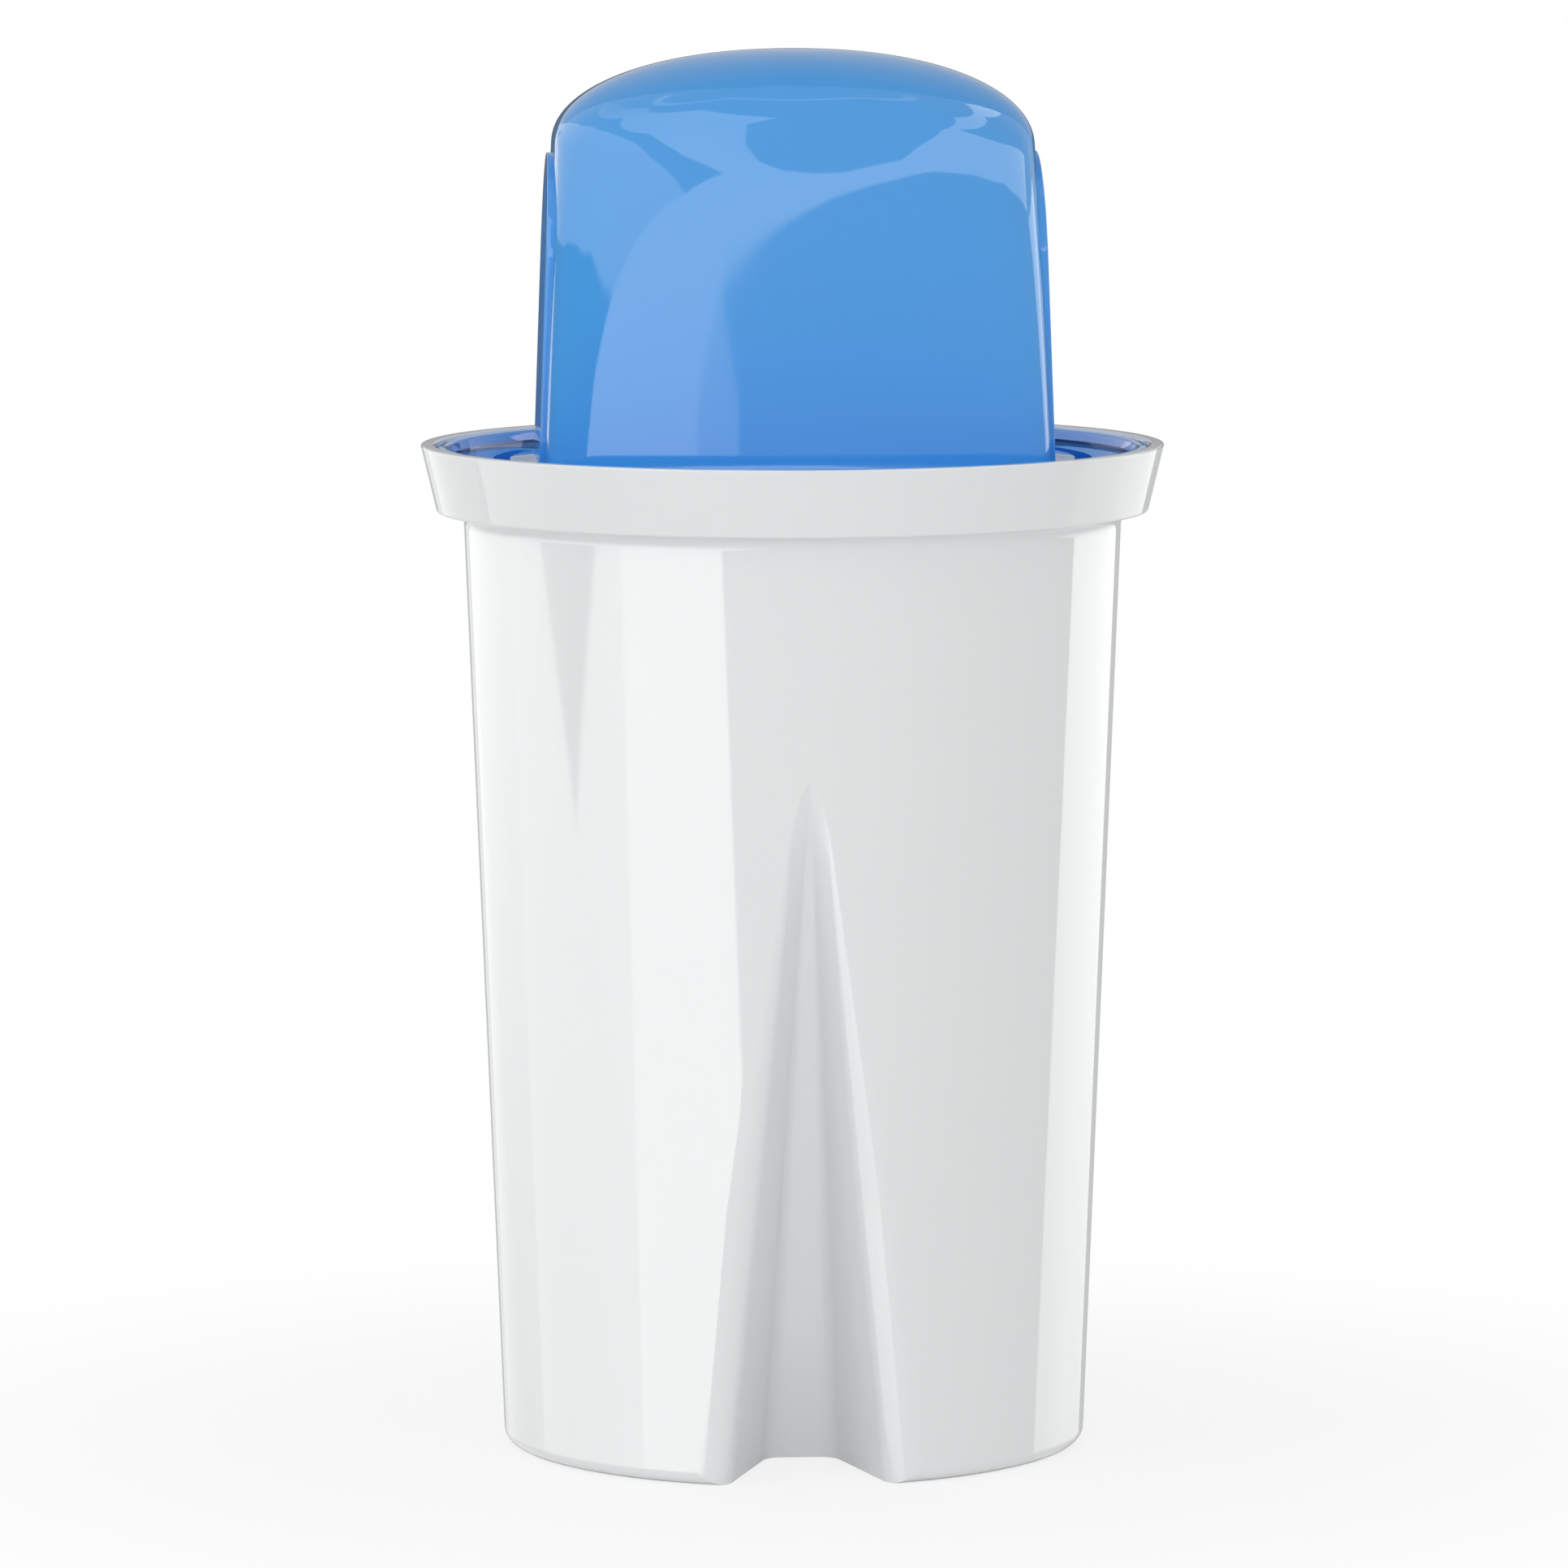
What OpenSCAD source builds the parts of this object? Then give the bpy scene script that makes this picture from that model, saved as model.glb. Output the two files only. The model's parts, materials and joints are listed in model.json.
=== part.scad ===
// Water pitcher filter cartridge
//
// A tapered cup with a flared collar and a key groove is closed by a domed cap. Water enters
// through the window grilles of the dome, sinks through two beds of filter media held between
// felt pads, and leaves through the slots of the cup's floor. Millimetres, Z up. The origin is
// at the centre of the base, the key groove faces -Y and the dome is longest along X.

/* [Cup] */
// Height of the cup, from the surface that it stands on to its rim
cup_h = 94.8; // [84:0.1:110]
// Diameter of the body at the base
base_d = 55; // [52:0.1:57]
// Diameter of the body just under the collar
neck_d = 61.9; // [60:0.1:63]
// Thickness of the body's wall
wall = 1.4; // [1:0.1:1.8]
// Thickness of the floor
floor_t = 1.6; // [1:0.1:3]
// Height of the standing ring under the floor
foot_h = 1.2; // [0.6:0.1:2.5]
// Width of the standing ring
foot_w = 2; // [1.2:0.1:3]
// Rounding of the edge between the body and the base
base_edge_r = 1.3; // [0.5:0.1:1.8]

/* [Collar] */
// Step from the body out to the collar's lower edge
collar_step = 2.55; // [2.2:0.05:4.5]
// Amount by which the collar flares out from its lower edge to its rim
collar_flare = 1.5; // [0.5:0.1:3]
// Height of the collar
collar_h = 6.3; // [5.8:0.1:9]
// Thickness of the collar's wall
collar_wall = 1.4; // [1:0.1:1.8]
// Thickness of the ledge that carries the cap
ledge_t = 1.2; // [0.8:0.1:1.6]
// Radius of the cove between the body and the collar
cove_r = 1.3; // [0.5:0.1:1.6]
// Rounding of the collar's edges
collar_edge_r = 0.3; // [0.1:0.05:0.5]

/* [Key groove] */
// Distance from the rim down to the tip of the groove
groove_drop = 29; // [20:0.5:45]
// Width of the groove at the base, between the shoulders
groove_w = 15.6; // [12:0.1:19]
// Width of the groove's floor at the base
groove_floor_w = 6.2; // [5.6:0.1:8]
// Depth of the groove at the base
groove_depth = 16.1; // [12:0.1:17.5]
// Rounding of the groove's shoulders at the base
shoulder_r = 2.3; // [1:0.1:3]
// Rounding of the groove's valleys at the base
valley_r = 1.7; // [0.8:0.1:2.2]

/* [Outlet] */
// Number of slots that would fill the outer ring of the floor
outlet_slots = 24; // [16:1:28]
// Number of slots in the inner ring
inner_slots = 8; // [6:1:10]
// Width of each slot
outlet_slot_w = 1.2; // [0.8:0.1:1.5]
// Radius of the inner end of the outer slots
outlet_in_r = 11.5; // [11:0.1:14]
// Radius of the outer end of the outer slots
outlet_out_r = 22.5; // [18:0.1:23]
// Radius of the inner end of the inner slots
inner_in_r = 3.2; // [3:0.1:4]
// Radius of the outer end of the inner slots
inner_out_r = 8; // [6:0.1:8.4]

/* [Cap] */
// Depth of the cap's plate below the rim of the cup
plate_drop = 1.4; // [1:0.1:2]
// Thickness of the plate
plate_t = 1.8; // [1.6:0.1:2]
// Gap between the cap and the collar, all round
cap_fit = 0.08; // [0.05:0.01:0.2]
// Drop from the rim of the cup to the top of the cap's lip
lip_drop = 0.2; // [0:0.05:0.4]
// Thickness of the lip that lines the collar
lip_wall = 1.1; // [0.9:0.1:1.4]
// Thickness of the skirt that stands on the ledge
skirt_wall = 1.5; // [1:0.1:2]
// Height of the flex slit round the foot of the lip
slit_h = 0.3; // [0.2:0.05:0.5]
// Depth of the flex slit
slit_depth = 0.7; // [0.3:0.05:0.75]
// Radius of the arc slots, to the middle of their width
arc_r = 27.4; // [26.9:0.1:28.5]
// Width of the arc slots
arc_w = 1.6; // [1:0.1:2]
// Depth of the arc slots
arc_depth = 1.2; // [0.5:0.1:1.4]
// Half of the angle that each arc slot spans
arc_half_angle = 24; // [12:1:40]

/* [Dome] */
// Height of the dome above the rim of the cup
dome_rise = 37.05; // [32:0.05:44]
// Length of the dome at the plate
dome_l = 47.2; // [44:0.1:48]
// Width of the dome at the plate
dome_w = 32.4; // [28:0.1:36]
// Draft of the dome's sides, in degrees
dome_draft = 2.1; // [1:0.1:3]
// Thickness of the dome's wall
dome_wall = 1.3; // [1:0.1:1.7]
// Height of the arched crown, seen from the front
crown_h = 9; // [7:0.1:12]
// Roundness of the crown across the dome, higher is flatter with tighter edges
crown_power = 13; // [9:0.5:18]
// Share of the width by which the long faces fall back towards the corners
face_bulge = 0.16; // [0.05:0.01:0.25]
// Radius of the fillet at the dome's foot
dome_foot_r = 0.5; // [0.2:0.1:0.9]

/* [Windows] */
// Width of the raised window panels on the dome's ends
panel_w = 19; // [17:0.1:20]
// Height of the panels above the plate, at the top of their arch
panel_h = 28.8; // [24:0.1:29]
// Amount by which the panels stand proud of the dome
panel_proud = 0.8; // [0.4:0.1:1]
// Width of the frame around the window
frame_w = 2.2; // [1.6:0.1:3]
// Number of slots in each window
window_slots = 5; // [3:1:6]
// Width of each window slot
window_slot_w = 1.5; // [1:0.1:1.7]
// Depth of the pocket that holds the screen
pocket_depth = 0.5; // [0.3:0.05:0.7]

/* [Filling] */
// Thickness of the woven inlet screens
screen_t = 0.35; // [0.2:0.05:0.5]
// Overlap of the inlet screens on the window frame
screen_lap = 1; // [0.5:0.1:1.5]
// Thickness of the woven outlet screen
outlet_screen_t = 0.4; // [0.2:0.05:0.8]
// Thickness of the felt pad under the resin
lower_pad_t = 2.5; // [1:0.1:4]
// Thickness of the felt pad between the beds
middle_pad_t = 2; // [1:0.1:4]
// Free height between the filling and the cap's plate
head_space = 8.9; // [5:0.1:16]
// Share of the beds' height that is resin
resin_share = 0.528; // [0.3:0.001:0.7]
// Thickness of the felt pad on the carbon
upper_pad_t = 3; // [1:0.1:5]
// Gap between the filling and the walls that it stands in
filling_gap = 0.3; // [0.2:0.05:0.5]

/* [Hidden] */

$fn = 96;
// Steps in each rounded corner of a profile
corner_steps = 6;
// Overlap of a cut past the face that it opens
cut = 1;

// Body and collar
collar_foot_d = neck_d + 2 * collar_step;
collar_d = collar_foot_d + 2 * collar_flare;
body_slope = (neck_d - base_d) / 2 / (cup_h - collar_h - cove_r);
collar_foot_z = cup_h - collar_h;
collar_slope = collar_flare / collar_h;
ledge_z = collar_foot_z + ledge_t;
floor_z = foot_h + floor_t;

// Key groove
tip_z = cup_h - groove_drop;
flank_lean = atan((groove_w - groove_floor_w) / 2 / groove_depth);
groove_levels = 10;
// Smallest and largest size of the groove's outline, as shares of its size at the base
groove_tip = 0.03;
groove_end = 1.03;
// Amount by which the groove's shoulders stand outside the body, so that they run out in it
run_out = 0.02;

// Cap
plate_z = cup_h - plate_drop;
lip_z = cup_h - lip_drop;

// Dome
dome_h = plate_drop + dome_rise;
dome_levels = 20;
dome_steps = 64;
// Exponent of the crown's arch, seen from the front
arch_power = 2.15;
// Exponents of the dome's plan, at its top and at the plate
plan_top = 2.1;
plan_foot = 18;
// Share of the dome's height at its last level, just short of the apex
apex_share = 0.98;
// How closely the levels crowd towards the top of the dome
level_power = 2.2;

// Windows
window_h = panel_h - frame_w;
window_w = panel_w - 2 * frame_w;
slot_pitch = window_w / window_slots;
// Width of the bevel round the panels
panel_bevel = panel_proud / 3;

// Filling, from the floor up
lower_pad_z = floor_z + outlet_screen_t;
resin_z = lower_pad_z + lower_pad_t;
upper_pad_z = plate_z - plate_t - head_space - upper_pad_t;
beds_h = upper_pad_z - resin_z - middle_pad_t;
resin_h = beds_h * resin_share;
carbon_h = beds_h - resin_h;
middle_pad_z = resin_z + resin_h;
carbon_z = middle_pad_z + middle_pad_t;

// Unit vector along v
function unit(v) = v / norm(v);

// Points of the corner p = [x, y, radius] between its neighbours a and b
function corner(a, p, b) =
    p[2] == 0 ? [[p[0], p[1]]] :
    let (
        at = [p[0], p[1]],
        u = unit([a[0], a[1]] - at),
        v = unit([b[0], b[1]] - at),
        half = acos(u * v) / 2,
        centre = at + unit(u + v) * p[2] / sin(half),
        first = at + u * p[2] / tan(half) - centre,
        last = at + v * p[2] / tan(half) - centre,
        turn = sign(cross(first, last)) * (180 - 2 * half),
        start = atan2(first[1], first[0])
    )
    [for (i = [0 : corner_steps])
        centre + p[2] * [cos(start + turn * i / corner_steps), sin(start + turn * i / corner_steps)]];

// Closed outline through points [x, y, radius], with each corner rounded to its radius
function rounded(path) =
    [for (i = [0 : len(path) - 1])
        each corner(path[(i + len(path) - 1) % len(path)], path[i], path[(i + 1) % len(path)])];

// Solid through a stack of level rings that have the same number of points. Each end is closed
// by triangles that meet in a hub, a point from which the whole ring can be seen.
module loft(rings, bottom_hub, top_hub) {
    count = len(rings[0]);
    top = (len(rings) - 1) * count;
    hub = len(rings) * count;
    polyhedron(
        points = concat([for (ring = rings) each ring], [bottom_hub, top_hub]),
        faces = concat(
            [for (j = [0 : count - 1]) [hub, j, (j + 1) % count]],
            [for (j = [0 : count - 1]) [hub + 1, top + (j + 1) % count, top + j]],
            [for (i = [0 : len(rings) - 2], j = [0 : count - 1])
                [i * count + j, (i + 1) * count + j, (i + 1) * count + (j + 1) % count]],
            [for (i = [0 : len(rings) - 2], j = [0 : count - 1])
                [i * count + j, (i + 1) * count + (j + 1) % count, i * count + (j + 1) % count]]),
        convexity = 6);
}

// Outer radius of the body at height z
function body_r(z) = base_d / 2 + z * body_slope;

// Inner radius of the collar at height z
function collar_in_r(z) = collar_d / 2 - collar_wall - (cup_h - z) * collar_slope;

// Half of the groove's outline where it has grown to the share t of its size at the base,
// from its shoulder to its centre line, as points [distance from the centre, depth in the body].
// grow moves the outline outwards all round, to leave a wall of that thickness.
function groove_half(t, grow) =
    let (
        bottom = groove_depth * t + grow,
        flank = grow / cos(flank_lean),
        shoulder = groove_w / 2 * t + flank - grow * tan(flank_lean),
        valley = groove_floor_w / 2 * t + flank - (bottom - groove_depth * t) * tan(flank_lean),
        outer_r = max(shoulder_r * t - grow, shoulder_r * t / 4),
        reach = shoulder + groove_w
    )
    concat(
        corner([reach, grow], [shoulder, grow, outer_r], [valley, bottom]),
        corner([shoulder, grow], [valley, bottom, valley_r * t], [0, bottom]));

// Height at which the groove has grown to the share t
function groove_z(t) = tip_z * (1 - t);

// Point outside the body, in front of the groove, from which its whole outline can be seen
function groove_hub(t) = [0, -body_r(groove_z(t)) - cut, groove_z(t)];

// Ring of the groove's solid at the share t, laid into the body's curved face. The outline
// stops shrinking at the tip and slides out of the body instead.
function groove_ring(t, grow) =
    let (
        z = groove_z(t),
        r = body_r(z),
        size = max(t, groove_tip),
        out = groove_depth * (size - t) + run_out,
        half = groove_half(size, grow),
        right = [for (p = half) [p[0], p[1] - sqrt(r * r - p[0] * p[0]) - out, z]],
        edge = half[0][0]
    )
    concat(
        [[-edge, -r - 2 * cut, z], [edge, -r - 2 * cut, z]],
        right,
        [for (i = [len(right) - 1 : -1 : 0]) [-right[i][0], right[i][1], z]]);

// The space of the key groove, with a skin of thickness grow
module groove(grow = 0) {
    loft(concat(
            [for (k = [groove_levels : -1 : 1]) groove_ring(groove_end * k / groove_levels, grow)],
            [groove_ring(groove_tip, grow), groove_ring(0, grow)]),
        groove_hub(groove_end),
        groove_hub(0));
}

// Standing edge, tapered body and flared collar, filled to the rim
module cup_body() {
    rotate_extrude()
        polygon(rounded([
            [0, 0, 0],
            [base_d / 2, 0, base_edge_r],
            [neck_d / 2, collar_foot_z - cove_r, 0],
            [neck_d / 2, collar_foot_z, cove_r],
            [collar_foot_d / 2, collar_foot_z, collar_edge_r],
            [collar_d / 2, cup_h, collar_edge_r / 2],
            [collar_in_r(cup_h), cup_h, collar_edge_r],
            [collar_in_r(cup_h - 2 * collar_edge_r), cup_h - 2 * collar_edge_r, 0],
            [0, cup_h - 2 * collar_edge_r, 0]
        ]));
}

// Space inside the body, and the wider seat of the cap above its ledge
module cup_space() {
    difference() {
        rotate_extrude()
            polygon([
                [0, floor_z],
                [body_r(floor_z) - wall, floor_z],
                [body_r(ledge_z) - wall, ledge_z],
                [0, ledge_z]
            ]);
        groove(wall);
    }
    rotate_extrude()
        polygon([
            [0, ledge_z - cut],
            [body_r(ledge_z - cut) - wall, ledge_z - cut],
            [body_r(ledge_z) - wall, ledge_z],
            [collar_in_r(ledge_z), ledge_z],
            [collar_in_r(cup_h - collar_edge_r), cup_h - collar_edge_r],
            [0, cup_h - collar_edge_r]
        ]);
}

// Recess under the floor, which leaves the standing ring round it and round the groove
module foot_space() {
    difference() {
        translate([0, 0, -cut])
            cylinder(r = base_d / 2 - foot_w - base_edge_r, h = foot_h + cut);
        groove(foot_w);
    }
}

// One radial slot through the floor
module outlet_slot(angle, from_r, to_r) {
    rotate(angle)
        translate([0, 0, floor_z - floor_t - cut / 2])
            linear_extrude(floor_t + cut) {
                translate([from_r, -outlet_slot_w / 2])
                    square([to_r - from_r, outlet_slot_w]);
                for (end = [from_r, to_r])
                    translate([end, 0])
                        circle(d = outlet_slot_w, $fn = 24);
            }
}

// Two rings of slots, the outer one left out where the groove's wall crosses the floor
module outlet_grille() {
    clear_angle = atan((groove_w / 2 + foot_w + wall) / outlet_out_r) + 180 / outlet_slots;
    for (k = [0 : outlet_slots - 1])
        if (abs(k * 360 / outlet_slots - 180) < 180 - clear_angle)
            outlet_slot(k * 360 / outlet_slots - 90, outlet_in_r, outlet_out_r);
    for (k = [0 : inner_slots - 1])
        outlet_slot((k + 0.5) * 360 / inner_slots - 90, inner_in_r, inner_out_r);
}

module cup() {
    color([0.93, 0.94, 0.95])
        difference() {
            cup_body();
            groove();
            cup_space();
            foot_space();
            outlet_grille();
        }
}

// Half of the dome's length at the height h above the plate
function dome_half_l(h) =
    let (
        arch = max(0, h - (dome_h - crown_h)) / crown_h,
        straight = dome_l / 2 - min(h, dome_h - crown_h) * tan(dome_draft)
    )
    straight * pow(1 - pow(arch, arch_power), 1 / arch_power);

// Half of the dome's width at the height h above the plate
function dome_half_w(h) =
    (dome_w / 2 - h * tan(dome_draft)) * sqrt(1 - pow(max(0, h) / dome_h, crown_power));

// Ring of the dome at the height h, grown sideways by the amount grow
function dome_ring(h, grow, steps) =
    let (
        l = dome_half_l(h) + grow,
        w = dome_half_w(h) + grow,
        power = plan_top + (plan_foot - plan_top) * pow(1 - max(0, h) / dome_h, 1.2)
    )
    [for (j = [0 : steps - 1])
        let (
            a = 360 * j / steps,
            u = sign(round(cos(a) * 1e6)) * pow(abs(cos(a)), 0.5),
            v = sign(round(sin(a) * 1e6)) * pow(abs(sin(a)), 0.5),
            s = pow(pow(abs(u), power) + pow(abs(v), power), -1 / power)
        )
        [l * s * u, w * s * v * (1 - face_bulge * pow(s * u, 2)), plate_z + h]];

// Sideways growth of the fillet at the dome's foot, at the height h
function foot_grow(h) =
    h >= dome_foot_r ? 0 : dome_foot_r - sqrt(pow(dome_foot_r, 2) - pow(dome_foot_r - h, 2));

// Height of level k of the dome
function level_h(k, levels) = dome_h * (1 - pow(1 - apex_share * k / levels, level_power));

// Outer skin of the dome, from inside the plate to the apex
module dome_outside() {
    loft(concat(
        [dome_ring(-plate_t / 2, foot_grow(0), dome_steps)],
        [for (k = [0 : 3]) dome_ring(dome_foot_r * k / 4, foot_grow(dome_foot_r * k / 4), dome_steps)],
        [for (k = [1 : dome_levels]) dome_ring(level_h(k, dome_levels), 0, dome_steps)]),
        [0, 0, plate_z - plate_t / 2],
        [0, 0, plate_z + dome_h]);
}

// Hollow of the dome, open below the plate
module dome_inside() {
    inner_share = (dome_h - dome_wall) / dome_h;
    loft(concat(
        [dome_ring(-plate_t - cut, -dome_wall, dome_steps)],
        [for (k = [0 : dome_levels / 2])
            let (ring = dome_ring(level_h(k, dome_levels / 2), 0, dome_steps))
            [for (p = ring)
                [p[0] * (1 - dome_wall / (dome_l / 2)),
                 p[1] * (1 - dome_wall / (dome_w / 2)),
                 plate_z + (p[2] - plate_z) * inner_share]]]),
        [0, 0, plate_z - plate_t - cut],
        [0, 0, plate_z + dome_h - dome_wall]);
}

// Places a child on an end of the dome: its X points out of the end face, its Z up along it
module on_end(side) {
    rotate(side > 0 ? 0 : 180)
        translate([dome_l / 2, 0, plate_z])
            rotate([0, -dome_draft, 0])
                children();
}

// Arched outline of the given width and height, standing on the X axis
module arch(w, h, foot = 0) {
    translate([-w / 2, foot])
        square([w, h - foot - w / 2]);
    translate([0, h - w / 2])
        circle(d = w);
}

// Plate of an end, with an outline inset from the panel's own, from the depth in to out
module end_plate(in, out, inset, foot = 0) {
    translate([in, 0, 0])
        rotate([90, 0, 90])
            linear_extrude(out - in)
                arch(panel_w - 2 * inset, panel_h - inset, foot);
}

// Raised panel with a bevelled edge
module window_panel() {
    hull() {
        end_plate(-dome_wall / 2, panel_proud - panel_bevel, 0, $fn = 48);
        end_plate(-dome_wall / 2, panel_proud, panel_bevel, $fn = 48);
    }
}

// Upright slots of a window, cut through the panel and the wall
module window_cut() {
    translate([-dome_wall - cut, 0, 0])
        rotate([90, 0, 90])
            linear_extrude(dome_wall + panel_proud + 2 * cut)
                intersection() {
                    arch(window_w, window_h, frame_w);
                    for (k = [0 : window_slots - 1])
                        translate([(k - (window_slots - 1) / 2) * slot_pitch - window_slot_w / 2, 0])
                            square([window_slot_w, panel_h]);
                }
}

// Plate and lip of the cap, and the skirt that stands on the ledge
module cap_tray() {
    out_r = collar_in_r(ledge_z) - cap_fit;
    top_r = collar_in_r(lip_z) - cap_fit;
    slit_r = collar_in_r(plate_z + slit_h) - cap_fit - lip_wall;
    rotate_extrude()
        polygon(rounded([
            [out_r, ledge_z, 0],
            [top_r, lip_z, lip_wall / 4],
            [top_r - lip_wall, lip_z, lip_wall / 4],
            [slit_r, plate_z + slit_h, 0],
            [slit_r + slit_depth, plate_z + slit_h, 0],
            [slit_r + slit_depth, plate_z, 0],
            [0, plate_z, 0],
            [0, plate_z - plate_t, 0],
            [out_r - skirt_wall, plate_z - plate_t, 0],
            [out_r - skirt_wall, ledge_z, 0]
        ]));
}

// Arc slot in the plate beside an end of the dome, with round ends
module arc_slot() {
    translate([0, 0, plate_z - arc_depth]) {
        rotate(-arc_half_angle)
            rotate_extrude(angle = 2 * arc_half_angle)
                translate([arc_r - arc_w / 2, 0])
                    square([arc_w, arc_depth + cut]);
        for (a = [-arc_half_angle, arc_half_angle])
            rotate(a)
                translate([arc_r, 0, 0])
                    cylinder(d = arc_w, h = arc_depth + cut, $fn = 32);
    }
}

module cap() {
    color([0.2, 0.52, 0.86])
        difference() {
            union() {
                cap_tray();
                dome_outside();
                for (side = [-1, 1])
                    on_end(side)
                        window_panel();
            }
            dome_inside();
            for (side = [-1, 1]) {
                on_end(side) {
                    window_cut();
                    end_plate(-dome_wall - cut, -dome_wall + pocket_depth,
                              frame_w - screen_lap - filling_gap,
                              frame_w - screen_lap - filling_gap);
                }
                rotate(side > 0 ? 0 : 180)
                    arc_slot();
            }
        }
}

// Woven screen in the pocket behind a window
module inlet_screen(side) {
    color([0.9, 0.93, 0.95])
        on_end(side)
            end_plate(-dome_wall + pocket_depth - screen_t, -dome_wall + pocket_depth,
                      frame_w - screen_lap, frame_w - screen_lap);
}

// Layer of the filling, from the height z up, fitted to the body and round the groove
module layer(z, h) {
    difference() {
        rotate_extrude()
            polygon([
                [0, z],
                [body_r(z) - wall - filling_gap, z],
                [body_r(z + h) - wall - filling_gap, z + h],
                [0, z + h]
            ]);
        groove(wall + filling_gap);
    }
}

module inlet_screen_left() {
    inlet_screen(-1);
}

module inlet_screen_right() {
    inlet_screen(1);
}

module upper_pad() {
    color([0.97, 0.97, 0.95])
        layer(upper_pad_z, upper_pad_t);
}

module carbon_bed() {
    color([0.08, 0.08, 0.09])
        layer(carbon_z, carbon_h);
}

module middle_pad() {
    color([0.97, 0.97, 0.95])
        layer(middle_pad_z, middle_pad_t);
}

module resin_bed() {
    color([0.85, 0.62, 0.25])
        layer(resin_z, resin_h);
}

module lower_pad() {
    color([0.97, 0.97, 0.95])
        layer(lower_pad_z, lower_pad_t);
}

module outlet_screen() {
    color([0.9, 0.93, 0.95])
        layer(floor_z, outlet_screen_t);
}

cup();
cap();
inlet_screen_left();
inlet_screen_right();
upper_pad();
carbon_bed();
middle_pad();
resin_bed();
lower_pad();
outlet_screen();
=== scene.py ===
"""Looks of a water pitcher filter cartridge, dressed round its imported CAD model.

The cup and the cap are lofted again from the model's own sizes, with many more steps, so that
their gloss runs smooth. All lengths are in metres, in the frame of the model: Z up, the key
groove towards -Y and the dome longest along X.
"""
from __future__ import annotations

import json
import logging
import math
from dataclasses import dataclass, field
from enum import Enum
from typing import Any, Callable, Iterable, Sequence

import bmesh
import bpy
from mathutils import Matrix, Vector

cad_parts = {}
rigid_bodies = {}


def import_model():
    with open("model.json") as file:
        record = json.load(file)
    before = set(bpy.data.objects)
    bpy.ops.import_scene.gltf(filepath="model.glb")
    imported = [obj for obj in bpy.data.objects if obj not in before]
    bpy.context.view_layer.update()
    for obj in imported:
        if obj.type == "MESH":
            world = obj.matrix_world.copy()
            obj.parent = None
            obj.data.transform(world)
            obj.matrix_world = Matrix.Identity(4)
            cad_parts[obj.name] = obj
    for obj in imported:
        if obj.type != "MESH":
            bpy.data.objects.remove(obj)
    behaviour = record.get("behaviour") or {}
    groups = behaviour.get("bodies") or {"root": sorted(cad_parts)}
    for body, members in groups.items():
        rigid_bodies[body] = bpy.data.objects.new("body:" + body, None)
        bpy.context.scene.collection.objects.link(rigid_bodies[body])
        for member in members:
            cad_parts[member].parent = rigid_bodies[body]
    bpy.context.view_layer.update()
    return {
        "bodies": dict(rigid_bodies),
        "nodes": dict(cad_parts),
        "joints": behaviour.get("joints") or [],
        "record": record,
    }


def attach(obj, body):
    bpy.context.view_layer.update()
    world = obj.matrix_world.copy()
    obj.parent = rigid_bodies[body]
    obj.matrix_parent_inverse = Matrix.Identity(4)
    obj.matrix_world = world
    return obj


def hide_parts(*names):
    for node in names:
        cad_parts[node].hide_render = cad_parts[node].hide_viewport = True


log = logging.getLogger("cartridge")

MM = 0.001
BODY = "root"


# Height that the cards for the dome are aimed at, and how often a card is halved to bend it.
DOME_AIM = 112 * MM
CARD_BENDS = 4

# A wave texture of scale 1 turns by this many radians in a metre.
WAVE_TEXTURE_TURNS = 20

# Points closer than this are welded, and what is smaller than the others counts as nothing.
WELD = 2e-7
NO_LENGTH = 1e-12
NO_SHARE = 1e-6
ROUNDING = 1e-9

Point = tuple[float, float]
Ring = list[Vector]
Colour = tuple[float, float, float]


class Slot(Enum):
    """Material slots of the record."""

    CUP = "cup_plastic"
    CAP = "cap_plastic"
    SCREEN = "screen"
    FELT = "felt"
    CARBON = "carbon"
    RESIN = "resin"


# Shader maths


class Socket:
    """An output socket of a shader node, on which arithmetic adds Math nodes."""

    def __init__(self, tree: bpy.types.NodeTree, output: bpy.types.NodeSocket) -> None:
        """Wraps the output of a node in the tree."""
        self.tree = tree
        self.output = output

    def _math(self, operation: str, first: Any, second: Any) -> Socket:
        """Adds a Math node that works on two values, and returns its result."""
        return add_node(self.tree, "ShaderNodeMath", settings={"operation": operation},
                        _0=first, _1=second)

    def __add__(self, other: Any) -> Socket:
        """Returns self + other."""
        return self._math("ADD", self, other)

    __radd__ = __add__

    def __mul__(self, other: Any) -> Socket:
        """Returns self * other."""
        return self._math("MULTIPLY", self, other)

    __rmul__ = __mul__

    def __sub__(self, other: Any) -> Socket:
        """Returns self - other."""
        return self._math("SUBTRACT", self, other)

    def __rsub__(self, other: Any) -> Socket:
        """Returns other - self."""
        return self._math("SUBTRACT", other, self)

    def __pow__(self, other: Any) -> Socket:
        """Returns self to the power of other."""
        return self._math("POWER", self, other)

    def at_least(self, limit: Any) -> Socket:
        """Returns the larger of self and limit."""
        return self._math("MAXIMUM", self, limit)


def plug(tree: bpy.types.NodeTree, value: Any, socket: bpy.types.NodeSocket) -> None:
    """Sets an input socket to a number or colour, or links a wrapped output to it."""
    if isinstance(value, Socket):
        tree.links.new(value.output, socket)
    else:
        socket.default_value = value


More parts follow.
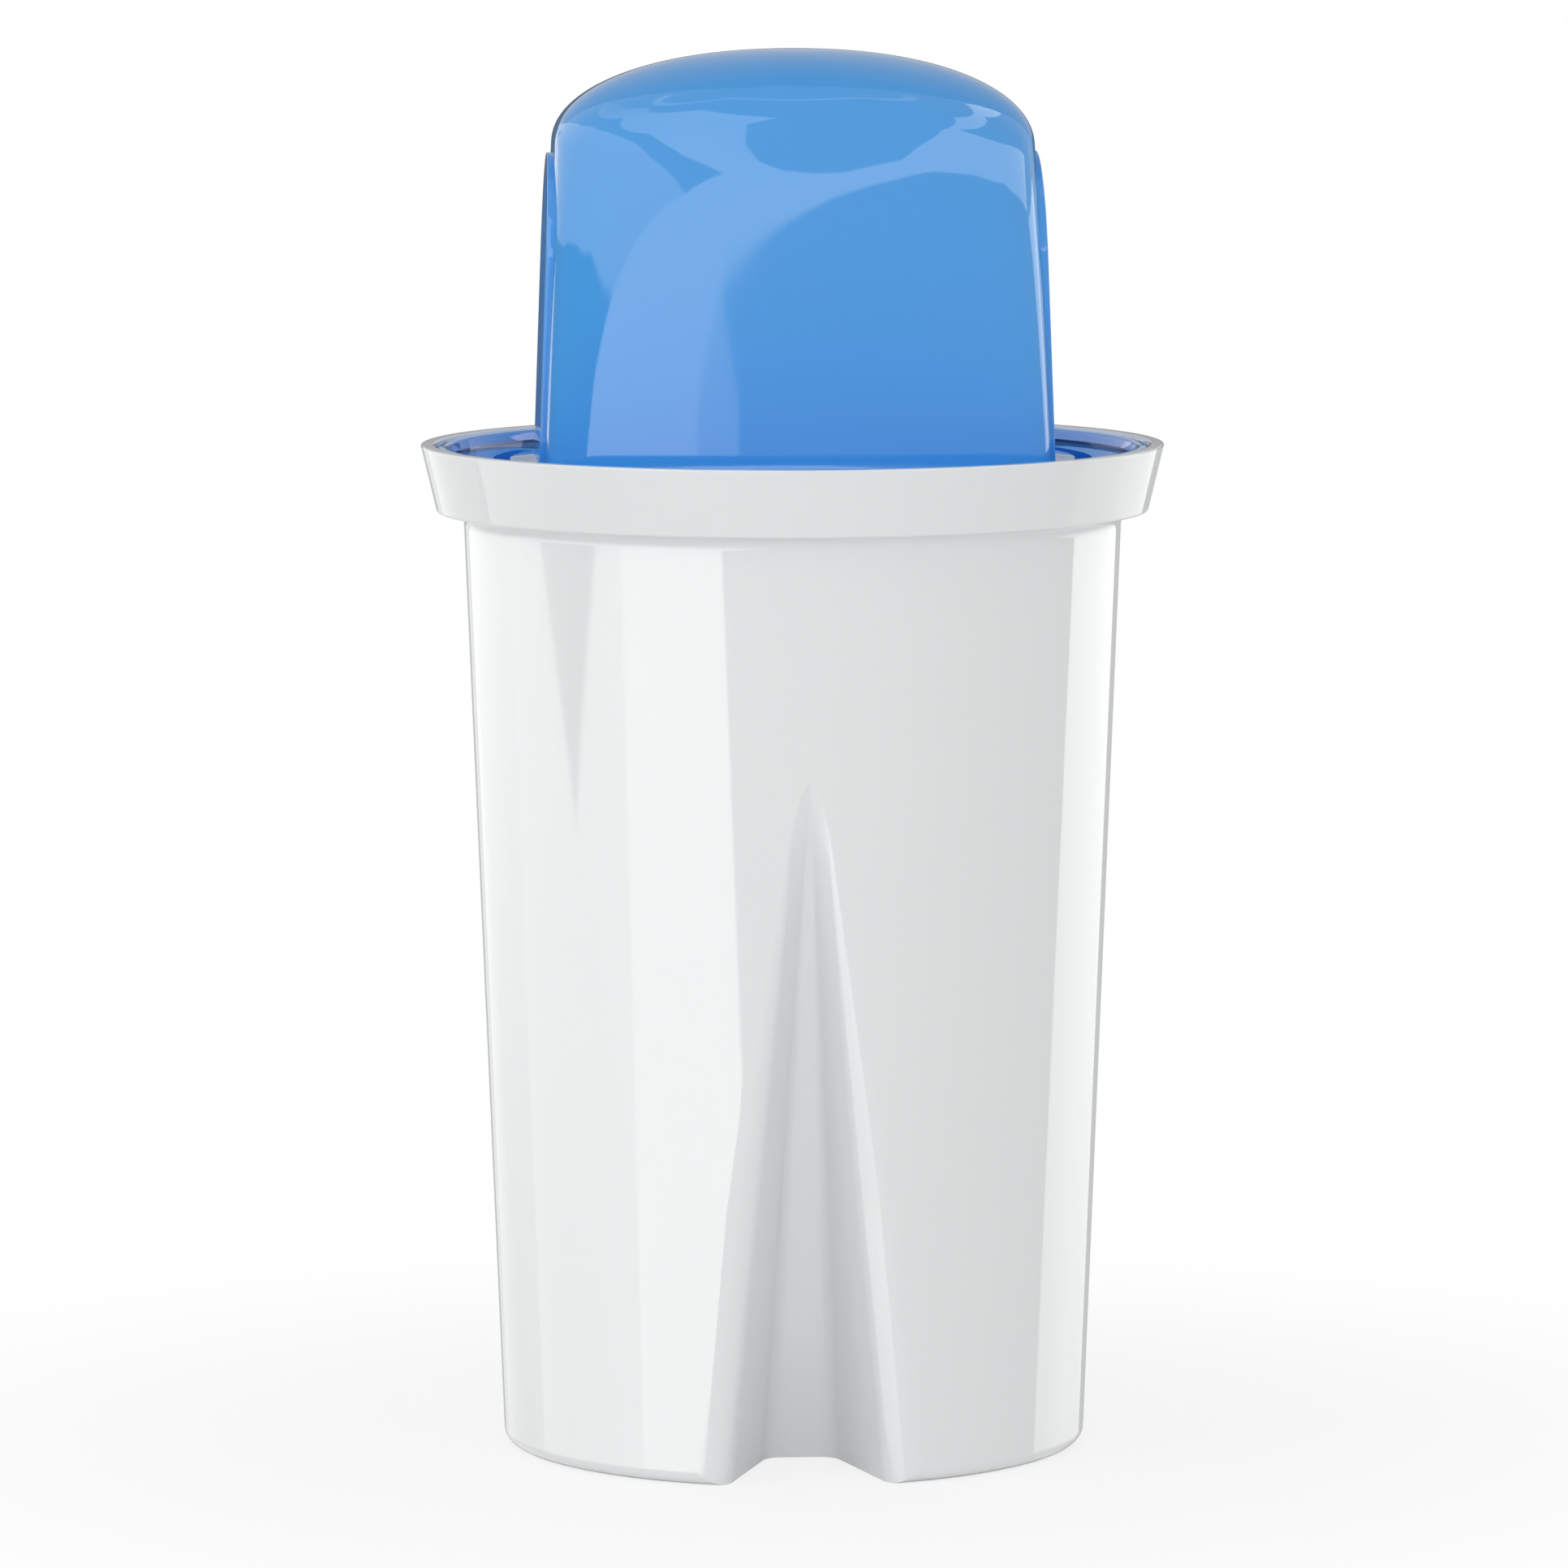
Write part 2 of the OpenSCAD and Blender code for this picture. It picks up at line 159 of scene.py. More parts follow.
def add_node(tree: bpy.types.NodeTree, kind: str, out: str | int = 0,
             settings: dict[str, Any] | None = None, **values: Any) -> Socket:
    """Adds a node to a tree.

    Args:
        tree: the tree.
        kind: the node's type.
        out: name or number of the output that is returned.
        settings: attributes of the node, set before its sockets.
        values: numbers, colours or links for its sockets. A socket goes by its name, with _ for
            a space, or by _ and its number.

    Returns:
        The wrapped output.
    """
    node = tree.nodes.new(kind)
    for key, value in (settings or {}).items():
        setattr(node, key, value)
    for key, value in values.items():
        socket = int(key[1:]) if key[1:].isdigit() else key.replace("_", " ")
        plug(tree, value, node.inputs[socket])
    return Socket(tree, node.outputs[out])


class Shader:
    """A material under construction, with one principled surface."""

    def __init__(self, name: str) -> None:
        """Makes an empty material of that name, with its surface and object coordinates."""
        self.material = bpy.data.materials.new(name)
        self.material.use_nodes = True
        self.tree = self.material.node_tree
        self.tree.nodes.clear()
        self.output = self.tree.nodes.new("ShaderNodeOutputMaterial")
        self.surface = self.tree.nodes.new("ShaderNodeBsdfPrincipled")
        self.tree.links.new(self.surface.outputs[0], self.output.inputs["Surface"])
        self.place = self.node("ShaderNodeTexCoord", out="Object")

    def node(self, kind: str, **options: Any) -> Socket:
        """Adds a node to the material, with the options of add_node."""
        return add_node(self.tree, kind, **options)

    def noise(self, scale: float, detail: float = 2.0) -> Socket:
        """Returns a noise from 0 to 1, with scale waves to the metre."""
        return self.node("ShaderNodeTexNoise", Vector=self.place, Scale=scale, Detail=detail,
                         settings={"noise_dimensions": "3D"})

    def mix(self, share: Any, first: Any, second: Any) -> Socket:
        """Returns the colour between first and second at that share."""
        return self.node("ShaderNodeMix", out=2, settings={"data_type": "RGBA"},
                         _0=share, _6=first, _7=second)

    def bump(self, height: Any, strength: float, distance: float) -> Socket:
        """Returns the surface's normal, pushed by a height."""
        return self.node("ShaderNodeBump", Height=height, Strength=strength, Distance=distance)

    def finish(self, **values: Any) -> bpy.types.Material:
        """Plugs values into the surface's sockets, with _ for a space, and returns the material."""
        for key, value in values.items():
            plug(self.tree, value, self.surface.inputs[key.replace("_", " ")])
        return self.material


def rgba(colour: Colour) -> tuple[float, float, float, float]:
    """Returns the colour with full alpha."""
    return (*colour, 1.0)


@dataclass(frozen=True)
class GlossyPlastic:
    """Injection moulded polypropylene, glossy, with the faint waviness of a moulded skin."""

    colour: Colour
    shade: Colour
    roughness: float
    roughness_spread: float
    ripple: float
    ripple_h: float = 0.2 * MM
    cloud_scale: float = 38.0
    flow_scale: float = 240.0
    grain_scale: float = 5200.0
    refraction: float = 1.49

    def material(self, name: str) -> bpy.types.Material:
        """Returns the material under that name."""
        shader = Shader(name)
        cloud = shader.noise(self.cloud_scale, 3.0)
        grain = shader.noise(self.grain_scale)
        flow = shader.noise(self.flow_scale)
        return shader.finish(
            Base_Color=shader.mix(cloud, rgba(self.colour), rgba(self.shade)),
            Roughness=self.roughness + self.roughness_spread * (cloud * 0.6 + grain * 0.4),
            Normal=shader.bump(flow * 0.8 + grain * 0.2, self.ripple, self.ripple_h),
            IOR=self.refraction,
        )


@dataclass(frozen=True)
class WovenMesh:
    """Fine plain weave of translucent white threads, with painted shade in the gaps between them.
    """

    thread: Colour
    # Colour of the gaps: painted shade for the dark seen through the open weave.
    painted_gap_shade: Colour
    pitch: float = 0.62 * MM
    thread_h: float = 0.1 * MM

    def material(self, name: str) -> bpy.types.Material:
        """Returns the material under that name."""
        shader = Shader(name)
        waves = [
            shader.node("ShaderNodeTexWave", Vector=shader.place, Distortion=0.0,
                        Scale=math.tau / WAVE_TEXTURE_TURNS / self.pitch,
                        settings={"wave_type": "BANDS", "bands_direction": axis,
                                  "wave_profile": "SIN"})
            for axis in ("X", "Y", "Z")
        ]
        weave = waves[0].at_least(waves[1]).at_least(waves[2])
        threads = weave ** 0.7
        return shader.finish(
            # Painted shade: the gaps between the threads are coloured dark, not cut open.
            Base_Color=shader.mix(threads, rgba(self.painted_gap_shade), rgba(self.thread)),
            Roughness=0.75 - threads * 0.2,
            Normal=shader.bump(threads, 0.7, self.thread_h),
        )


@dataclass(frozen=True)
class NeedledFelt:
    """White needled felt, with matted fibres."""

    colour: Colour
    shade: Colour
    fibre_scale: float = 2600.0
    tuft_scale: float = 420.0
    nap: float = 0.6 * MM

    def material(self, name: str) -> bpy.types.Material:
        """Returns the material under that name."""
        shader = Shader(name)
        fibres = shader.noise(self.fibre_scale, 6.0)
        tufts = shader.noise(self.tuft_scale, 4.0)
        return shader.finish(
            Base_Color=shader.mix(tufts * 0.6 + fibres * 0.4, rgba(self.shade),
                                  rgba(self.colour)),
            Roughness=0.95 - fibres * 0.1,
            Normal=shader.bump(fibres * 0.6 + tufts * 0.4, 0.8, self.nap),
        )


@dataclass(frozen=True)
class Grains:
    """Packed granules or beads, each with its own tone."""

    colour: Colour
    shade: Colour
    size: float
    roughness: float

    def material(self, name: str) -> bpy.types.Material:
        """Returns the material under that name."""
        shader = Shader(name)
        cells = {"Vector": shader.place, "Scale": 1.0 / self.size}
        height = shader.node("ShaderNodeTexVoronoi", out="Distance", **cells)
        tone = shader.node("ShaderNodeTexVoronoi", out="Color", **cells)
        level = shader.node("ShaderNodeRGBToBW", Color=tone)
        return shader.finish(
            Base_Color=shader.mix(level, rgba(self.shade), rgba(self.colour)),
            Roughness=self.roughness + level * 0.15,
            Normal=shader.bump(1.0 - height, 1.0, self.size * 0.6),
        )


FINISHES: dict[Slot, GlossyPlastic | WovenMesh | NeedledFelt | Grains] = {
    Slot.CUP: GlossyPlastic(colour=(0.80, 0.815, 0.82), shade=(0.785, 0.80, 0.808),
                            roughness=0.03, roughness_spread=0.03, ripple=0.008),
    Slot.CAP: GlossyPlastic(colour=(0.063, 0.337, 0.78), shade=(0.060, 0.328, 0.765),
                            roughness=0.02, roughness_spread=0.03, ripple=0.01),
    # The screen's gap colour is painted shade.
    Slot.SCREEN: WovenMesh(thread=(0.72, 0.76, 0.80), painted_gap_shade=(0.06, 0.08, 0.1)),
    Slot.FELT: NeedledFelt(colour=(0.86, 0.86, 0.83), shade=(0.62, 0.62, 0.6)),
    Slot.CARBON: Grains(colour=(0.03, 0.03, 0.033), shade=(0.006, 0.006, 0.007),
                        size=1.1 * MM, roughness=0.45),
    Slot.RESIN: Grains(colour=(0.62, 0.36, 0.10), shade=(0.38, 0.19, 0.04),
                       size=0.7 * MM, roughness=0.3),
}


# Outlines and lofts


def corner(a: Sequence[float], p: Sequence[float], b: Sequence[float], steps: int) -> list[Point]:
    """Rounds the corner of a path.

    Args:
        a: point before the corner.
        p: the corner, as x, y and radius.
        b: point after the corner.
        steps: number of steps in the arc.

    Returns:
        The points of the arc, or the corner itself where its radius is 0.
    """
    at, radius = Vector(p[:2]), p[2]
    if radius <= 0:
        return [(at.x, at.y)]
    u = (Vector(a[:2]) - at).normalized()
    v = (Vector(b[:2]) - at).normalized()
    half = u.angle(v) / 2
    centre = at + (u + v).normalized() * (radius / math.sin(half))
    reach = radius / math.tan(half)
    first = at + u * reach - centre
    turn = math.copysign(math.pi - 2 * half, first.cross(at + v * reach - centre))
    start = math.atan2(first.y, first.x)
    return [
        (centre.x + radius * math.cos(start + turn * i / steps),
         centre.y + radius * math.sin(start + turn * i / steps))
        for i in range(steps + 1)
    ]


def rounded(path: Sequence[Sequence[float]], steps: int) -> list[Point]:
    """Returns the open path of points (x, y, radius) with its corners rounded."""
    points: list[Point] = [(path[0][0], path[0][1])]
    for before, p, after in zip(path, path[1:], path[2:]):
        points += corner(before, p, after, steps)
    return points + [(path[-1][0], path[-1][1])]


def guarded(points: Sequence[Point], long: float, near: float, step: float) -> list[Point]:
    """Adds points to the long stretches of a path, so that its shading stays true.

    Args:
        points: the path.
        long: length from which a stretch counts as long.
        near: distance of the added points from the ends of the stretch.
        step: greatest distance between points in its middle.

    Returns:
        The path with the added points.
    """
    result: list[Point] = [points[0]]
    for a, b in zip(points, points[1:]):
        length = math.dist(a, b)
        if length > long:
            inner = max(1, math.ceil((length - 2 * near) / step))
            shares = [near / length + (1 - 2 * near / length) * k / inner
                      for k in range(inner + 1)]
            result += [(a[0] + (b[0] - a[0]) * s, a[1] + (b[1] - a[1]) * s) for s in shares]
        result.append(b)
    return result


def loft(name: str, rings: Sequence[Ring], hubs: Sequence[Vector] = ()) -> bpy.types.Object:
    """Makes a closed mesh through rings of equally many points.

    Args:
        name: name of the object.
        rings: the rings, in order.
        hubs: points that close the first and the last ring. Without them these two are joined.

    Returns:
        The object, with outward normals.
    """
    mesh = bpy.data.meshes.new(name)
    count, total = len(rings[0]), len(rings)
    points = [p for ring in rings for p in ring] + list(hubs)
    faces: list[tuple[int, ...]] = []
    for j in range(count):
        k = (j + 1) % count
        for i in range(total - 1 if hubs else total):
            base, after = i * count, (i + 1) % total * count
            faces.append((base + j, base + k, after + k, after + j))
        if hubs:
            last = (total - 1) * count
            faces.append((total * count, k, j))
            faces.append((total * count + 1, last + j, last + k))
    mesh.from_pydata([tuple(p) for p in points], [], faces)
    edit = bmesh.new()
    edit.from_mesh(mesh)
    bmesh.ops.remove_doubles(edit, verts=edit.verts, dist=WELD)
    bmesh.ops.recalc_face_normals(edit, faces=edit.faces)
    edit.to_mesh(mesh)
    edit.free()
    return link(bpy.data.objects.new(name, mesh))


def link(piece: bpy.types.Object) -> bpy.types.Object:
    """Puts an object into the scene and returns it."""
    bpy.context.scene.collection.objects.link(piece)
    return piece


def prism(outline: Sequence[Point], low: float, high: float, bevel: float = 0.0,
          bevel_steps: int = 5) -> bmesh.types.BMesh:
    """Makes an upright prism over an outline.

    Args:
        outline: its points, counterclockwise.
        low: height of its lower face.
        high: height of its upper face.
        bevel: radius of the round edge of the upper face.
        bevel_steps: number of steps in that round.

    Returns:
        The mesh under construction.
    """
    edit = bmesh.new()
    count = len(outline)
    levels = [(low, 0.0), (high, 0.0)]
    if bevel > 0:
        turns = [math.pi / 2 * k / bevel_steps for k in range(bevel_steps + 1)]
        levels = [(low, 0.0)] + [
            (high - bevel + bevel * math.sin(turn), bevel * (1 - math.cos(turn))) for turn in turns]
    rings = []
    for z, inward in levels:
        ring = []
        for i, p in enumerate(outline):
            before, after = Vector(outline[i - 1]), Vector(outline[(i + 1) % count])
            along = (after - before).normalized()
            normal = Vector((-along.y, along.x))
            at = Vector(p) + normal * inward
            ring.append(edit.verts.new((at.x, at.y, z)))
        rings.append(ring)
    for low_ring, high_ring in zip(rings, rings[1:]):
        for j in range(count):
            k = (j + 1) % count
            edit.faces.new((low_ring[j], low_ring[k], high_ring[k], high_ring[j]))
    edit.faces.new(list(reversed(rings[0])))
    edit.faces.new(rings[-1])
    return edit


def to_object(name: str, edit: bmesh.types.BMesh, place: Matrix | None = None) -> bpy.types.Object:
    """Turns a mesh under construction into an object, moved by place."""
    mesh = bpy.data.meshes.new(name)
    edit.to_mesh(mesh)
    edit.free()
    if place is not None:
        mesh.transform(place)
    return link(bpy.data.objects.new(name, mesh))


def merged(name: str, parts: Sequence[bpy.types.Object]) -> bpy.types.Object:
    """Joins separate meshes into one object, without cutting them."""
    edit = bmesh.new()
    for part in parts:
        edit.from_mesh(part.data)
        bpy.data.objects.remove(part)
    return to_object(name, edit)


def carve(piece: bpy.types.Object, tool: bpy.types.Object, operation: str) -> None:
    """Applies a boolean operation of the tool to the piece, and removes the tool."""
    modifier = piece.modifiers.new("carve", "BOOLEAN")
    modifier.operation = operation
    modifier.solver = "EXACT"
    modifier.object = tool
    bpy.context.view_layer.update()
    shape = piece.evaluated_get(bpy.context.evaluated_depsgraph_get())
    mesh = bpy.data.meshes.new_from_object(shape)
    piece.modifiers.clear()
    piece.data = mesh
    bpy.data.objects.remove(tool)


def smooth(piece: bpy.types.Object, angle: float = 32.0) -> None:
    """Shades a piece smooth, with sharp edges where it turns by more than the angle, in degrees."""
    mesh = piece.data
    mesh.polygons.foreach_set("use_smooth", [True] * len(mesh.polygons))
    mesh.set_sharp_from_angle(angle=math.radians(angle))


def dress(piece: bpy.types.Object, slot: Slot, *nodes: str) -> bpy.types.Object:
    """Gives a piece its finish, its body and the nodes that it stands for."""
    piece.data.materials.clear()
    piece.data.materials.append(finish_of(slot))
    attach(piece, BODY)
    if nodes:
        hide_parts(*nodes)
    log.info("%s: %d faces", piece.name, len(piece.data.polygons))
    return piece


def finish_of(slot: Slot) -> bpy.types.Material:
    """Returns the slot's material, made the first time that it is asked for."""
    name = "finish_" + slot.value
    return bpy.data.materials.get(name) or FINISHES[slot].material(name)


# The cup


@dataclass
class Cup:
    """Tapered white cup with a flared collar, a key groove and a slotted floor."""

    height: float = 94.8 * MM
    base_r: float = 27.5 * MM
    neck_r: float = 30.95 * MM
    wall: float = 1.4 * MM
    floor_t: float = 1.6 * MM
    foot_h: float = 1.2 * MM
    foot_w: float = 2.0 * MM
    base_edge_r: float = 1.3 * MM
    collar_r: float = 35.0 * MM
    collar_foot_r: float = 33.5 * MM
    collar_h: float = 6.3 * MM
    collar_wall: float = 1.4 * MM
    ledge_t: float = 1.2 * MM
    cove_r: float = 1.3 * MM
    collar_edge_r: float = 0.3 * MM
    groove_drop: float = 29.0 * MM
    groove_half_w: float = 7.8 * MM
    groove_floor_half_w: float = 3.1 * MM
    groove_depth: float = 16.1 * MM
    groove_tip_half_w: float = 1.25 * MM
    groove_tip_share: float = 0.1
    shoulder_r: float = 3.8 * MM
    shoulder_share: float = 0.6
    valley_r: float = 2.2 * MM
    outlet_slots: int = 24
    inner_slots: int = 8
    slot_w: float = 1.2 * MM
    outer_slot_span: Point = (11.5 * MM, 22.5 * MM)
    inner_slot_span: Point = (3.2 * MM, 8.0 * MM)
    arc_points: int = 240
    groove_points: tuple[int, int, int, int] = (12, 14, 10, 5)
    fine_steps: int = 48
    floor_steps: int = 16
    seam_share: float = 0.0025
    corner_steps: int = 8
    slot_steps: int = 8
    wall_levels: int = 24
    long_stretch: float = 0.6 * MM
    guard_gap: float = 0.04 * MM
    guard_step: float = 1.0 * MM

    def __post_init__(self) -> None:
        """Derives the sizes that follow from the others."""
        self.collar_foot_z = self.height - self.collar_h
        self.slope = (self.neck_r - self.base_r) / (self.collar_foot_z - self.cove_r)
        self.collar_slope = (self.collar_r - self.collar_foot_r) / self.collar_h
        self.ledge_z = self.collar_foot_z + self.ledge_t
        self.floor_z = self.foot_h + self.floor_t
        self.tip_z = self.height - self.groove_drop
        self.lean = math.atan((self.groove_half_w - self.groove_floor_half_w) / self.groove_depth)

    def body_r(self, z: float) -> float:
        """Returns the body's outer radius at the height z."""
        return self.base_r + z * self.slope

    def collar_in_r(self, z: float) -> float:
        """Returns the collar's inner radius at the height z."""
        return self.collar_r - self.collar_wall - (self.height - z) * self.collar_slope

    def groove_half(self, share: float, grow: float) -> list[list[Point]]:
        """Returns half of the groove's outline at a share of its full size.

        Args:
            share: size of the groove there, from 0 at its tip to 1 at the base.
            grow: skin by which the outline is moved outwards. Without it the tip is blunt.

        Returns:
            The shoulder's arc, and the valley's arc, as points (distance from the centre, depth).
        """
        bottom = self.groove_depth * share + grow
        flank, back = grow / math.cos(self.lean), grow * math.tan(self.lean)
        tip = 0.0
        if grow == 0:
            rise = min(1.0, share / self.groove_tip_share)
            tip = self.groove_tip_half_w * (1 - share) * math.sqrt(1 - (1 - rise) ** 2)
        shoulder = self.groove_half_w * share + tip + flank - back
        valley = self.groove_floor_half_w * share + flank - back
        reach = shoulder + self.groove_half_w
        soft = min(1.0, share / self.shoulder_share)
        shoulder_r = max(self.shoulder_r * soft - grow, self.shoulder_r * share / 4)
        valley_r = self.valley_r * share
        steps = self.fine_steps
        return [
            corner((reach, grow), (shoulder, grow, shoulder_r), (valley, bottom), steps),
            corner((shoulder, grow), (valley, bottom, valley_r), (0, bottom), steps),
        ]

    def ring(self, z: float, radius: float, grow: float = 0.0) -> Ring:
        """Returns the outline of a level section: a circle with the groove let into it.

        Args:
            z: height of the section.
            radius: radius of the circle.
            grow: skin by which the groove is widened.

        Returns:
            The points, counterclockwise from above, starting at the groove's right shoulder.
        """
        share = max(0.0, 1.0 - max(z, 0.0) / self.tip_z)
        body = self.body_r(max(z, 0.0))
        on_shoulder, on_flank, on_valley, on_floor = self.groove_points
        if share < NO_SHARE:
            half = [(0.0, -radius)] * (sum(self.groove_points) + 1)
        else:
            shoulder, valley = [
                [(x, depth - math.sqrt(max(body * body - x * x, 0.0))) for x, depth in arc]
                for arc in self.groove_half(share, grow)]
            half = resample(clip(shoulder, radius), on_shoulder)
            half += resample([shoulder[-1], valley[0]], on_flank)[1:]
            half += resample(valley, on_valley)[1:]
            side, deep = valley[-1]
            across = [side * (1 - k / self.floor_steps) for k in range(self.floor_steps + 1)]
            floor = [(x, deep + math.sqrt(body ** 2 - side ** 2) - math.sqrt(body ** 2 - x * x))
                     for x in across]
            half += resample(floor, on_floor)[1:]
        edge = half[0]
        start = math.atan2(edge[1], edge[0])
        end = math.pi - start
        span = end - start
        near, inner = self.seam_share, self.arc_points - 3
        shares = [0.0, near] + [near + (1 - 2 * near) * k / inner for k in range(1, inner)]
        shares += [1 - near, 1.0]
        arc = [(radius * math.cos(start + span * s), radius * math.sin(start + span * s))
               for s in shares]
        arc[0], arc[-1] = edge, (-edge[0], edge[1])
        left = [(-x, y) for x, y in half[1:]]
        right = list(reversed(half[1:-1]))
        return [Vector((x, y, z)) for x, y in arc + left + right]

    def profile(self) -> list[Point]:
        """Returns the outer profile (radius, height) from the foot to the collar's inner edge."""
        z, edge = self.height, self.collar_edge_r
        path = rounded([
            (self.base_r - self.foot_w - self.base_edge_r, 0, 0),
            (self.base_r, 0, self.base_edge_r),
            (self.neck_r, self.collar_foot_z - self.cove_r, 0),
            (self.neck_r, self.collar_foot_z, self.cove_r),
            (self.collar_foot_r, self.collar_foot_z, edge),
            (self.collar_r, z, edge / 2),
            (self.collar_in_r(z), z, edge),
            (self.collar_in_r(self.ledge_z), self.ledge_z, 0),
        ], self.corner_steps)
        return guarded(path, self.long_stretch, self.guard_gap, self.guard_step)

    def shell(self) -> bpy.types.Object:
        """Returns the cup without its floor: a loft from the recess under it round to its top."""
        foot_r = self.base_r - self.foot_w - self.base_edge_r
        rings = [self.ring(self.foot_h, foot_r, self.foot_w)]
        rings.append([Vector((p.x, p.y, 0.0)) for p in self.ring(0.0, foot_r, self.foot_w)])
        rings += [self.ring(z, r) for r, z in self.profile()[1:]]
        for k in range(self.wall_levels + 1):
            z = self.ledge_z + (self.floor_z - self.ledge_z) * k / self.wall_levels
            rings.append(self.ring(z, self.body_r(z) - self.wall, self.wall))
        return loft("cup_shell", rings)

    def floor(self) -> bpy.types.Object:
        """Returns the slotted floor, which closes the shell at its foot."""
        outline = self.ring(self.foot_h, self.base_r - self.foot_w - self.base_edge_r, self.foot_w)
        edit = prism([(p.x, p.y) for p in outline], self.foot_h, self.floor_z)
        piece = to_object("cup_floor", edit)
        carve(piece, self.slots(), "DIFFERENCE")
        return piece

    def slots(self) -> bpy.types.Object:
        """Returns the cutters of all the slots in the floor."""
        clear = math.atan((self.groove_half_w + self.foot_w + self.wall) / self.outer_slot_span[1])
        clear += math.pi / self.outlet_slots
        turns: list[tuple[float, Point]] = []
        for k in range(self.outlet_slots):
            turn = math.tau * k / self.outlet_slots
            if abs(turn - math.pi) < math.pi - clear:
                turns.append((turn - math.pi / 2, self.outer_slot_span))
        for k in range(self.inner_slots):
            turns.append(((k + 0.5) * math.tau / self.inner_slots - math.pi / 2,
                          self.inner_slot_span))
        parts = []
        for turn, (near, far) in turns:
            half, steps = self.slot_w / 2, self.slot_steps
            outline = []
            for middle, start in ((far, -0.5), (near, 0.5)):
                angles = [math.pi * (k / steps + start) for k in range(steps + 1)]
                outline += [(middle + half * math.cos(a), half * math.sin(a)) for a in angles]
            edit = prism(outline, self.foot_h - MM, self.floor_z + MM)
            parts.append(to_object("slot", edit, Matrix.Rotation(turn, 4, "Z")))
        return merged("slots", parts)

    def build(self) -> bpy.types.Object:
        """Builds the cup, dresses it and returns it."""
        piece = merged("moulded_cup", [self.shell(), self.floor()])
        smooth(piece)
        return dress(piece, Slot.CUP, "cup")


def clip(points: Sequence[Point], radius: float) -> list[Point]:
    """Returns the end of a path that lies inside a circle round the origin, from its rim on."""
    for i, (x, y) in enumerate(points):
        if math.hypot(x, y) <= radius + ROUNDING:
            if i == 0:
                return list(points)
            a, b = points[i - 1], points[i]
            ra, rb = math.hypot(*a), math.hypot(*b)
            s = (ra - radius) / (ra - rb)
            return [(a[0] + (b[0] - a[0]) * s, a[1] + (b[1] - a[1]) * s), *points[i:]]
    return [points[-1], points[-1]]


def spread(points: Sequence[Point], sums: Sequence[float], steps: int) -> list[Point]:
    """Spreads points along a path.

    Args:
        points: the path.
        sums: how far along it each of them counts as being.
        steps: number of steps in the result.

    Returns:
        steps + 1 points, evenly apart by that count.
    """
    result, i = [], 0
    for k in range(steps + 1):
        want = sums[-1] * k / steps
        while i < len(sums) - 2 and sums[i + 1] < want:
            i += 1
        gap = sums[i + 1] - sums[i]
        s = min(1.0, (want - sums[i]) / gap) if gap > 0 else 0.0
        a, b = points[i], points[i + 1]
        result.append((a[0] + (b[0] - a[0]) * s, a[1] + (b[1] - a[1]) * s))
    return result


def resample(points: Sequence[Point], steps: int) -> list[Point]:
    """Returns steps + 1 points at equal distances along a path."""
    sums = [0.0]
    for a, b in zip(points, points[1:]):
        sums.append(sums[-1] + math.dist(a, b))
    if sums[-1] < NO_LENGTH:
        return [points[0]] * (steps + 1)
    return spread(points, sums, steps)


def even(points: Sequence[Point], steps: int) -> list[Point]:
    """Spreads points along a path, evenly by its length and its turning taken together.

    Args:
        points: the path, finely stepped.
        steps: number of steps in the result.

    Returns:
        steps + 1 points, closer together where the path turns.
    """
    by_length, by_turning = 0.55, 0.45
    lengths = [math.dist(a, b) for a, b in zip(points, points[1:])]
    whole = sum(lengths) or 1.0
    angles = [math.atan2(b[1] - a[1], b[0] - a[0]) for a, b in zip(points, points[1:])]
    turns = [0.0] + [abs(math.remainder(b - a, math.tau)) for a, b in zip(angles, angles[1:])]
    turned = sum(turns) or 1.0
    sums = [0.0]
    for length, turn in zip(lengths, turns):
        sums.append(sums[-1] + by_length * length / whole + by_turning * turn / turned)
    return spread(points, sums, steps)


# The cap


